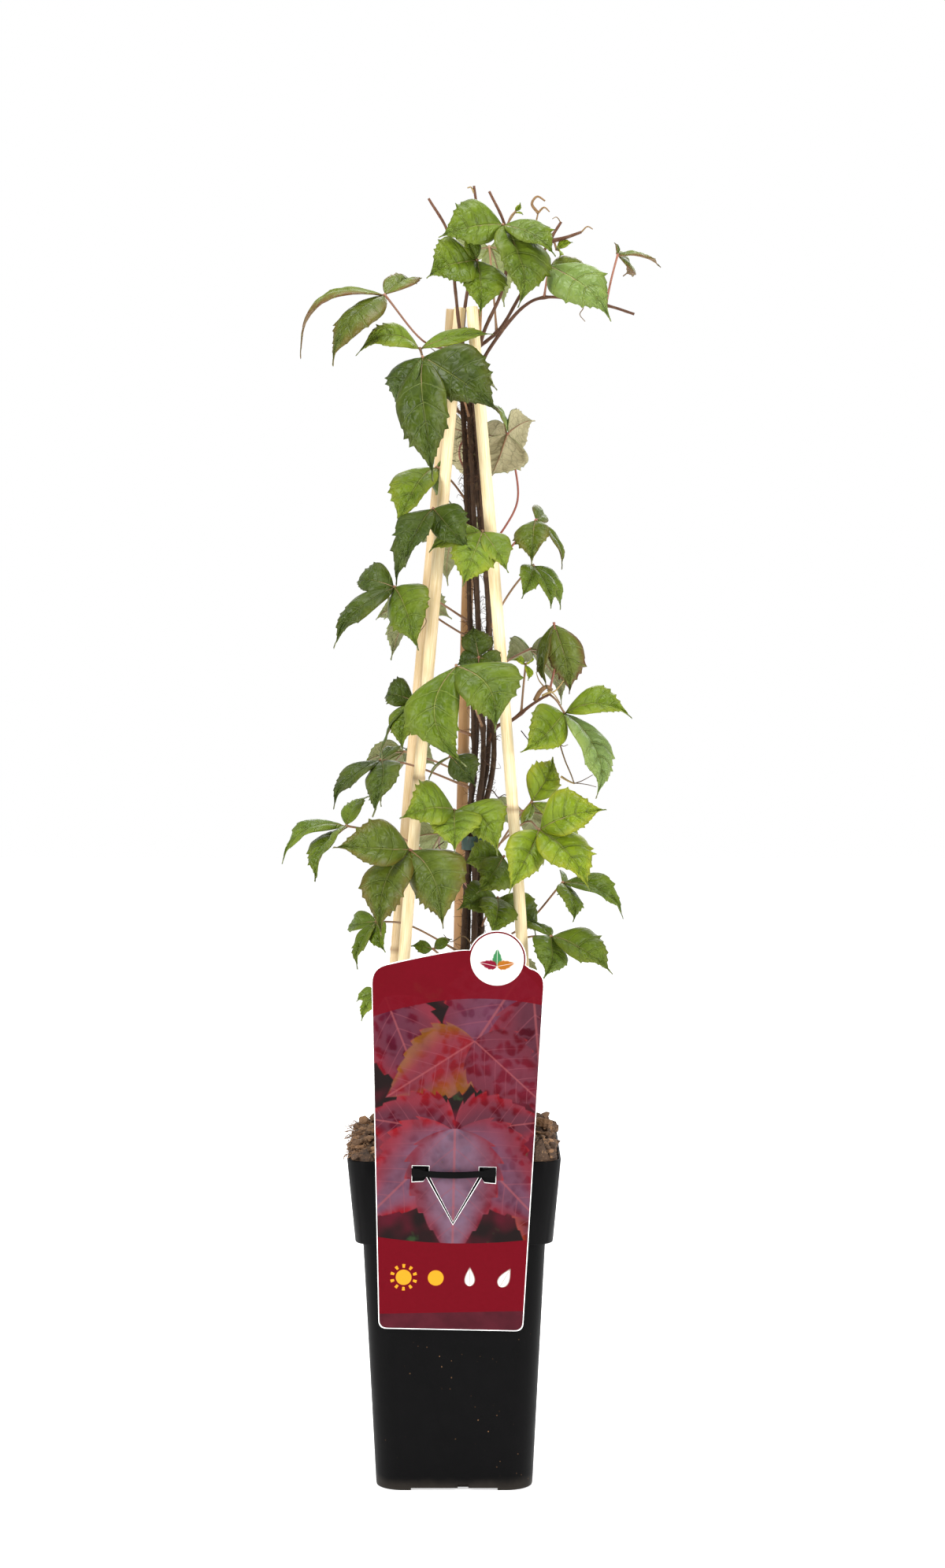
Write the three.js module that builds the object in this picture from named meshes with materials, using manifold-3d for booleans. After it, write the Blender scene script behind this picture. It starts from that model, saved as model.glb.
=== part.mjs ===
// A climbing plant in a square nursery pot: five woody stems with three-part toothed leaves, tied in a
// bundle between four canes that lean into a pyramid, and a die-cut label hung on the pot's collar.
// Millimetres, +Z up. The origin is the middle of the pot's base, and the front with the label is -Y.

import * as THREE from 'three';
import { mergeVertices } from 'three/addons/utils/BufferGeometryUtils.js';
import Module from 'manifold-3d';

const wasm = await Module();
wasm.setup();

// Pot: half widths of its square sections, from the base up to the rim
const wall = 1.4;
const baseHalf = 44.5;
const baseCorner = 15;
const waistHalf = 51.5;
const collarHalf = 55.7;
const collarZ = 142;
const collarStep = 0.6;
const rimHalf = 60;
const rimCorner = 12;
const rimZ = 190;
const floorZ = 3.2;
const footHeight = 1.5;
const footGap = 49;
const footGapDepth = 15;
const drainRadius = 3.2;
const drainPlace = 27;
const drainCount = 4;
const slotWidth = 6;
const slotHeight = 3.5;

// Label strap, moulded on the front of the collar
const strapWidth = 47;
const strapHeight = 4.5;
const strapZ = 184.5;
const strapThickness = 1.6;
const strapBulge = 1.2;
const postInner = 16;
const postOuter = 21.5;

// Label
const labelThickness = 0.8;
const labelGap = 0.4;
const labelFoot = new THREE.Vector3(-1.87, 0, 93.7);
const labelLean = THREE.MathUtils.degToRad(-1.2);
const labelBottomHalf = 40.5;
const labelTopHalf = 48;
const labelSide = 206;
const labelCrown = 218.5;
const bumpCentre = new THREE.Vector2(21.4, 212.5);
const bumpRadius = 16.2;

// Soil, canes and ties
const clearance = 0.4;
const soilEdgeZ = 188;
const soilHeap = 8;
const caneRadius = 3.3;
const caneSides = 8;
const tieZ = 622;
const tieHeight = 2.5;
const tieWall = 0.9;
const bandZ = 364;
const bandHeight = 8;
const bandInner = 6.1;
const bandWall = 0.9;
const holeTop = 215;

// Stems and leaves
const footZ = 140;
const footRadius = 2.0;
const tipRadius = 1.0;
const stalkRadius = 0.9;
const stalkRise = 1.5;
const hubReach = 0.6;
const bladeStart = 0.4;
const mergeLength = 0.01;
const bladeThickness = 0.9;
const bladeFold = Math.tan(THREE.MathUtils.degToRad(14));
const bladeArch = 0.1;
const stalkSides = 3;
const stemSides = 6;
const plantAxis = new THREE.Vector2(8, 2);

const material = (color, roughness) => new THREE.MeshStandardMaterial({ color, roughness, metalness: 0 });
const potMaterial = material(0x141416, 0.5);
const soilMaterial = material(0x4a3323, 0.95);
const caneMaterial = material(0xe0cd96, 0.55);
const tieMaterial = material(0x2f6f60, 0.5);
const bandMaterial = material(0x33443f, 0.6);
const labelMaterial = material(0x7c1226, 0.35);
const plantMaterial = material(0x4a7a2e, 0.45);

const vector = (point) => new THREE.Vector3(...point);

// Turns a shape made round the Y axis upright, and moves it to a place
const standAt = (x, y, z) =>
  new THREE.Matrix4().makeTranslation(x, y, z).multiply(new THREE.Matrix4().makeRotationX(Math.PI / 2));

// A solid from shared points and the triangles between them
function solidFrom(points, faces) {
  const vertProperties = new Float32Array(points.flatMap((point) => [point.x, point.y, point.z]));
  const triVerts = new Uint32Array(faces);
  return new wasm.Manifold(new wasm.Mesh({ numProp: 3, vertProperties, triVerts }));
}

// A solid from one of three's closed geometries, moved by a matrix
function toSolid(geometry, matrix = new THREE.Matrix4()) {
  const bare = geometry.clone().applyMatrix4(matrix);
  bare.deleteAttribute('normal');
  bare.deleteAttribute('uv');
  const merged = mergeVertices(bare, 1e-4);
  const vertProperties = merged.attributes.position.array;
  const triVerts = new Uint32Array(merged.index.array);
  return new wasm.Manifold(new wasm.Mesh({ numProp: 3, vertProperties, triVerts }));
}

// A named mesh from a solid, with its faces listed from the largest down
function toMesh(solid, name, look) {
  const { vertProperties, triVerts } = solid.getMesh();
  const corner = (i) => new THREE.Vector3().fromArray(vertProperties, 3 * triVerts[i]);
  const faces = [];
  for (let i = 0; i < triVerts.length; i += 3) {
    const area = new THREE.Triangle(corner(i), corner(i + 1), corner(i + 2)).getArea();
    faces.push({ area, corners: [...triVerts.slice(i, i + 3)] });
  }
  faces.sort((a, b) => b.area - a.area);
  const geometry = new THREE.BufferGeometry();
  geometry.setAttribute('position', new THREE.Float32BufferAttribute(vertProperties, 3));
  geometry.setIndex(faces.flatMap(({ corners }) => corners));
  geometry.computeVertexNormals();
  const mesh = new THREE.Mesh(geometry, look);
  mesh.name = name;
  return mesh;
}

// A closed skin through rings of equally many points, which run counter-clockwise seen from the last ring
function loft(rings) {
  const count = rings[0].length;
  const faces = [];
  for (let ring = 0; ring + 1 < rings.length; ring++) {
    for (let i = 0; i < count; i++) {
      const a = ring * count + i;
      const b = ring * count + (i + 1) % count;
      faces.push(a, b, b + count, a, b + count, a + count);
    }
  }
  const last = (rings.length - 1) * count;
  for (let i = 1; i + 1 < count; i++) {
    faces.push(0, i + 1, i);
    faces.push(last, last + i, last + i + 1);
  }
  return solidFrom(rings.flat(), faces);
}

// A round section carried along a line of points without twist, with a radius for each point
function sweep(points, radii, sides) {
  const tangentAt = (i) => {
    const ahead = points[Math.min(i + 1, points.length - 1)];
    const behind = points[Math.max(i - 1, 0)];
    return ahead.clone().sub(behind).normalize();
  };
  const start = tangentAt(0);
  const side = Math.abs(start.x) < 0.9 ? new THREE.Vector3(1, 0, 0) : new THREE.Vector3(0, 1, 0);
  const rings = points.map((point, i) => {
    const tangent = tangentAt(i);
    side.addScaledVector(tangent, -side.dot(tangent)).normalize();
    const across = tangent.clone().cross(side);
    const ring = [];
    for (let k = 0; k < sides; k++) {
      const angle = (2 * Math.PI * k) / sides;
      const spoke = side.clone().multiplyScalar(Math.cos(angle) * radii[i]);
      spoke.addScaledVector(across, Math.sin(angle) * radii[i]);
      ring.push(point.clone().add(spoke));
    }
    return ring;
  });
  return loft(rings);
}

// A smooth tapered tube through the given points
function tube(points, startRadius, endRadius, sides, perSpan) {
  const curve = new THREE.CatmullRomCurve3(points, false, 'centripetal');
  const samples = curve.getPoints((points.length - 1) * perSpan);
  const share = (i) => i / (samples.length - 1);
  const radii = samples.map((_, i) => startRadius + (endRadius - startRadius) * share(i));
  return sweep(samples, radii, sides);
}

// A square ring with round corners, at one height
function squareRing(half, corner, z, perCorner = 6) {
  const ring = [];
  for (let quarter = 0; quarter < 4; quarter++) {
    for (let i = 0; i < perCorner; i++) {
      const angle = (Math.PI / 2) * (quarter + i / (perCorner - 1));
      const turn = (Math.PI / 2) * quarter + Math.PI / 4;
      const reach = (half - corner) * Math.SQRT2;
      const x = Math.cos(turn) * reach + Math.cos(angle) * corner;
      const y = Math.sin(turn) * reach + Math.sin(angle) * corner;
      ring.push(new THREE.Vector3(x, y, z));
    }
  }
  return ring;
}

const boxAt = (sizeX, sizeY, sizeZ, x, y, z) =>
  toSolid(new THREE.BoxGeometry(sizeX, sizeY, sizeZ), new THREE.Matrix4().makeTranslation(x, y, z));

// Front face of the collar: how far it stands forward at a height
const collarSlope = (rimHalf - collarHalf) / (rimZ - collarZ - collarStep);
const collarFront = (z) => rimHalf + (z - rimZ) * collarSlope;

// Pot: a tapered shell with a stepped collar, corner feet, drain holes and the strap for the label
function makePot() {
  const skin = loft([
    squareRing(baseHalf - 1, baseCorner, 0),
    squareRing(baseHalf, baseCorner, 2),
    squareRing(waistHalf, baseCorner - 1, collarZ),
    squareRing(collarHalf, baseCorner - 2, collarZ + collarStep),
    squareRing(rimHalf, rimCorner, rimZ),
  ]);
  const stepTop = collarZ + collarStep + wall;
  const room = loft([
    squareRing(baseHalf - wall, baseCorner - wall, floorZ),
    squareRing(waistHalf - wall, baseCorner - 1 - wall, stepTop - collarStep),
    squareRing(collarFront(stepTop) - wall, baseCorner - 2 - wall, stepTop),
    squareRing(collarFront(rimZ + 1) - wall, rimCorner - wall, rimZ + 1),
  ]);
  let pot = skin.subtract(room);
  for (const [x, y] of [[0, -1], [1, 0], [0, 1], [-1, 0]]) {
    const across = 2 * footGapDepth;
    const sizeX = x === 0 ? footGap : across;
    const sizeY = y === 0 ? footGap : across;
    pot = pot.subtract(boxAt(sizeX, sizeY, 2 * footHeight, x * baseHalf, y * baseHalf, 0));
  }
  pot = pot.subtract(boxAt(slotWidth, 4 * wall, 2 * slotHeight, 5, -baseHalf, 0));
  for (let i = 0; i < drainCount; i++) {
    const x = Math.cos((2 * Math.PI * (i + 0.5)) / drainCount) * drainPlace;
    const y = Math.sin((2 * Math.PI * (i + 0.5)) / drainCount) * drainPlace;
    const drain = new THREE.CylinderGeometry(drainRadius, drainRadius, 4 * floorZ, 8);
    pot = pot.subtract(toSolid(drain, standAt(x, y, 0)));
  }
  return pot.add(makeStrap());
}

// Strap: a bowed bar on two posts, with room behind it for the label
function makeStrap() {
  const front = collarFront(strapZ);
  const back = labelGap + labelThickness + 1.5 * clearance;
  const half = strapWidth / 2;
  const inner = -front - back;
  const outer = inner - strapThickness;
  const plan = new THREE.Shape();
  plan.moveTo(-half, inner);
  plan.lineTo(-half, outer);
  plan.quadraticCurveTo(0, outer - 2 * strapBulge, half, outer);
  plan.lineTo(half, inner);
  plan.closePath();
  const lift = new THREE.Matrix4().makeTranslation(0, 0, strapZ - strapHeight / 2);
  const options = { depth: strapHeight, bevelEnabled: false, curveSegments: 6 };
  const bar = toSolid(new THREE.ExtrudeGeometry(plan, options), lift);
  const postWidth = postOuter - postInner;
  const postDepth = back + wall / 2 + strapThickness / 2;
  const postY = -front + wall / 2 - postDepth / 2;
  const postX = (postInner + postOuter) / 2;
  const left = boxAt(postWidth, postDepth, strapHeight - 0.4, -postX, postY, strapZ);
  const right = boxAt(postWidth, postDepth, strapHeight - 0.4, postX, postY, strapZ);
  return bar.add(left).add(right);
}

// Label: a plastic card with a round bump on its crown, hung on the strap by a V-shaped tongue
function makeLabel() {
  const card = new THREE.Shape();
  const corner = 4.5;
  const shoulder = 8;
  card.moveTo(-labelBottomHalf + corner, 0);
  card.lineTo(labelBottomHalf - corner, 0);
  card.quadraticCurveTo(labelBottomHalf, 0, labelBottomHalf + 0.2, corner);
  card.lineTo(labelTopHalf - 0.3, labelSide - shoulder);
  card.quadraticCurveTo(labelTopHalf, labelSide, labelTopHalf - shoulder, labelSide + 2);
  const bumpStart = Math.atan2(labelSide + 3.5 - bumpCentre.y, 15);
  card.absarc(bumpCentre.x, bumpCentre.y, bumpRadius, bumpStart, Math.PI - 0.3, false);
  card.quadraticCurveTo(0, labelCrown, -labelTopHalf + shoulder, labelSide + 2.5);
  card.quadraticCurveTo(-labelTopHalf, labelSide + 0.5, -labelTopHalf + 0.2, labelSide - shoulder);
  card.lineTo(-labelBottomHalf - 0.2, corner);
  card.quadraticCurveTo(-labelBottomHalf, 0, -labelBottomHalf + corner, 0);
  // Two windows for the strap's posts, joined by the slit round the tongue
  const slit = [
    [-23.3, 94.3], [-14, 94.3], [-14, 88.7], [0, 62.4], [14, 88.7], [14, 94.3], [23.3, 94.3],
    [23.3, 85.1], [17, 85.6], [15.2, 88.2], [0, 61], [-15.2, 88.2], [-17, 85.6], [-23.3, 85.1],
  ];
  card.holes.push(new THREE.Path(slit.map(([x, y]) => new THREE.Vector2(x, y))));
  const options = { depth: labelThickness, bevelEnabled: false, curveSegments: 5 };
  return toSolid(new THREE.ExtrudeGeometry(card, options), labelPlace());
}

// The label hangs parallel to the collar's front, its top toward the viewer, and leans a little
function labelPlace() {
  const up = new THREE.Vector3(0, -collarSlope, 1).normalize();
  const out = new THREE.Vector3(0, -1, -collarSlope).normalize();
  const right = new THREE.Vector3(1, 0, 0);
  const foot = labelFoot.clone().setY(-collarFront(labelFoot.z)).addScaledVector(out, labelGap);
  const place = new THREE.Matrix4().makeBasis(right, up, out).setPosition(foot);
  return place.multiply(new THREE.Matrix4().makeRotationZ(labelLean));
}

// Canes: points along each axis, from the foot in the soil to the top, and its knuckles' heights
const canes = {
  front_left: {
    path: [
      [-40, -34, 80], [-36, -31, 190], [-28, -25, 305],
      [-16.5, -17, 441], [-0.8, -4.4, 622], [3.2, -1, 668],
    ],
    knuckles: [262, 402, 548],
  },
  front_right: {
    path: [
      [41, -34, 80], [42.5, -35, 200], [38, -30, 314],
      [24.7, -18, 491], [13.8, -10.5, 622], [10, -8, 668],
    ],
    knuckles: [228, 385, 530],
  },
  back_left: {
    path: [
      [-42, 34, 80], [-41, 31, 190], [-33, 26, 310],
      [-24, 20.5, 417], [-5.2, 10.5, 615], [-1.4, 8, 668],
    ],
    knuckles: [300, 445, 575],
  },
  back_right: {
    path: [
      [-2, 38, 80], [0.5, 34, 190], [2.6, 29, 302],
      [7, 18, 491], [11.2, 9, 622], [12.6, 6.5, 668],
    ],
    knuckles: [250, 415, 560],
  },
};

function makeCane({ path, knuckles }) {
  const curve = new THREE.CatmullRomCurve3(path.map(vector), false, 'centripetal');
  const foot = path[0][2];
  const top = path[path.length - 1][2];
  const stations = [[footZ, 1], [holeTop, 1], [tieZ, 1]];
  for (const height of [foot, 330, 480, top]) {
    stations.push([height, 1]);
  }
  for (const knuckle of knuckles) {
    stations.push([knuckle - 3, 1], [knuckle, 1.1], [knuckle + 2.5, 0.98]);
  }
  stations.sort((a, b) => a[0] - b[0]);
  const samples = curve.getPoints(400);
  const points = stations.map(([z]) => pointAtHeight(samples, z));
  return sweep(points, stations.map(([, scale]) => caneRadius * scale), caneSides);
}

// The first point of a sampled line at a height
function pointAtHeight(samples, z) {
  for (let i = 0; i + 1 < samples.length; i++) {
    const [a, b] = [samples[i], samples[i + 1]];
    if ((a.z <= z && z <= b.z) || i + 2 === samples.length) {
      return a.clone().lerp(b, (z - a.z) / (b.z - a.z));
    }
  }
  return samples[0].clone();
}

// Soil: fills the pot a little below the rim, heaped and rough, with a plain hole for each cane and stem
function soilHeight(x, y) {
  const reach = Math.min(1, Math.hypot(x, y) / rimHalf);
  const heap = soilHeap * (1 - reach * reach) * (0.75 - 0.004 * x);
  const lumps = 1.1 * Math.sin(x * 0.31 + 1.7) * Math.cos(y * 0.27) + 0.8 * Math.sin(x * 0.13 - y * 0.44);
  return soilEdgeZ + heap + lumps;
}

function makeSoil() {
  const inset = wall + clearance;
  const stepTop = collarZ + collarStep + wall + clearance;
  const rings = [
    squareRing(baseHalf - inset, baseCorner - inset, floorZ + clearance),
    squareRing(waistHalf - inset, baseCorner - 1 - inset, stepTop),
    squareRing(collarFront(stepTop + 1) - inset, baseCorner - 2 - inset, stepTop + 1),
  ];
  const edge = squareRing(collarFront(soilEdgeZ) - inset, rimCorner - inset, soilEdgeZ);
  const ground = (x, y) => new THREE.Vector3(x, y, soilHeight(x, y));
  for (const share of [1, 0.8, 0.5, 0.2]) {
    rings.push(edge.map(({ x, y }) => ground(x * share, y * share)));
  }
  let soil = loft(rings);
  for (const { path } of Object.values(canes)) {
    const samples = smoothLine(path.map(vector));
    const points = [path[0][2], footZ, holeTop].map((z) => pointAtHeight(samples, z));
    soil = soil.subtract(holeAlong(points, caneRadius, caneSides));
  }
  for (const { line } of Object.values(stems)) {
    soil = soil.subtract(holeAlong(line.slice(0, 3).map((point) => point.clone()), footRadius, stemSides));
  }
  return soil;
}

// A plain hole round what stands in the soil
function holeAlong(points, radius, sides) {
  const wide = (radius + clearance) / Math.cos(Math.PI / sides);
  points[0].z -= clearance;
  return sweep(points, points.map(() => wide), sides);
}

// Ties: a thin band round the four canes near their tops, and a deeper one round the five stems
function makeTie() {
  const circles = Object.values(canes).map(({ path }) => pointAtHeight(smoothLine(path.map(vector)), tieZ));
  const inner = hullOutline(circles, caneRadius + clearance);
  const outer = hullOutline(circles, caneRadius + clearance + tieWall);
  const ring = new THREE.Shape(outer);
  ring.holes.push(new THREE.Path(inner));
  const lift = new THREE.Matrix4().makeTranslation(0, 0, tieZ - tieHeight / 2);
  return toSolid(new THREE.ExtrudeGeometry(ring, { depth: tieHeight, bevelEnabled: false }), lift);
}

// Outline of a cord pulled tight round equal circles: every direction's furthest point
function hullOutline(centres, radius) {
  const outline = [];
  for (let i = 0; i < 24; i++) {
    const angle = (2 * Math.PI * i) / 24;
    const way = new THREE.Vector2(Math.cos(angle), Math.sin(angle));
    const reach = (centre) => centre.x * way.x + centre.y * way.y;
    const furthest = centres.reduce((best, centre) => (reach(centre) > reach(best) ? centre : best));
    outline.push(new THREE.Vector2(furthest.x + way.x * radius, furthest.y + way.y * radius));
  }
  return outline;
}

function makeBand() {
  const [x, y] = bundleAt(bandZ);
  const half = bandHeight / 2;
  const outer = bandInner + bandWall;
  const round = 0.4;
  const profile = [
    [bandInner, -half], [outer, -half + round], [outer, half - round], [bandInner, half], [bandInner, -half],
  ].map(([r, z]) => new THREE.Vector2(r, z));
  return toSolid(new THREE.LatheGeometry(profile, 14), standAt(x, y, bandZ));
}

// The bundle's middle and the ring on which its stems stand, by height: z, x, y, ring radius
const bundle = [
  [140, 8, 4, 8], [186, 8, 4, 9], [250, 9, 3, 6.5], [306, 10.5, 2, 5.2], [356, 11, 2, 3.8], [372, 11, 2, 3.8],
  [410, 16, 1.5, 6], [455, 16, 1, 5.8], [496, 15, 1, 5.6], [565, 10.5, 1, 4.2], [600, 8.3, 0.6, 3.4],
  [622, 6.8, 0.3, 3],
];

function bundleAt(z) {
  const above = bundle.findIndex(([height]) => height >= z);
  const [low, high] = [bundle[Math.max(above - 1, 0)], bundle[above]];
  const share = high[0] === low[0] ? 0 : (z - low[0]) / (high[0] - low[0]);
  return [1, 2, 3].map((i) => low[i] + (high[i] - low[i]) * share);
}

const smoothLine = (points) => new THREE.CatmullRomCurve3(points, false, 'centripetal').getPoints(400);

// A stem's axis: up the bundle at its own angle, then free above the upper tie
function stemLine(degrees, free) {
  const line = bundle.map(([z, x, y, ring]) => {
    const slack = 0.25 * (ring - 3);
    const angle = THREE.MathUtils.degToRad(degrees) + 0.25 * Math.sin(z / 45);
    const reach = ring + slack * Math.sin(z / 29 + degrees);
    return new THREE.Vector3(x + Math.cos(angle) * reach, y + Math.sin(angle) * reach, z);
  });
  return [...line, ...free.map(vector)];
}

// The five stems, by where they stand in the bundle, with their twigs
const stems = {
  front: {
    line: stemLine(-90, [[6, -5.5, 640], [3, -8, 656], [0.7, -9, 677], [-3.2, -8, 709], [-14.4, -6, 729]]),
    twigs: [],
  },
  right: {
    line: stemLine(-18, [
      [13, -1, 640], [17, -1, 655], [26.8, -3, 677], [30, -5, 695], [28.5, -6, 714], [19.8, -6, 733],
    ]),
    twigs: [[[19.5, -0.5, 422.4], [24, -1, 430.4], [32.6, -8, 434.4], [43.6, -6, 442.9], [53.9, -4, 449.4]]],
  },
  back_right: {
    line: stemLine(54, [
      [13.5, 2.6, 632], [19.2, 3, 644], [39.4, 2, 669], [50.9, 0, 674], [86, -6, 669], [101.7, -8, 664],
    ]),
    twigs: [],
  },
  back_left: {
    line: stemLine(126, [
      [4.5, 8.5, 634], [9, 13.5, 643], [18, 13, 650], [26, 11, 657], [36.4, 8, 674], [48, 6, 695],
      [55, 5, 708], [60.7, 4, 717],
    ]),
    twigs: [[[54, 5, 706], [63, 3.5, 708], [72, 2, 711]]],
  },
  left: {
    line: stemLine(198, [[6, 3.5, 668], [10, 4, 690], [14, 3, 711], [11.2, 2, 737]]),
    twigs: [],
  },
};

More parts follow.
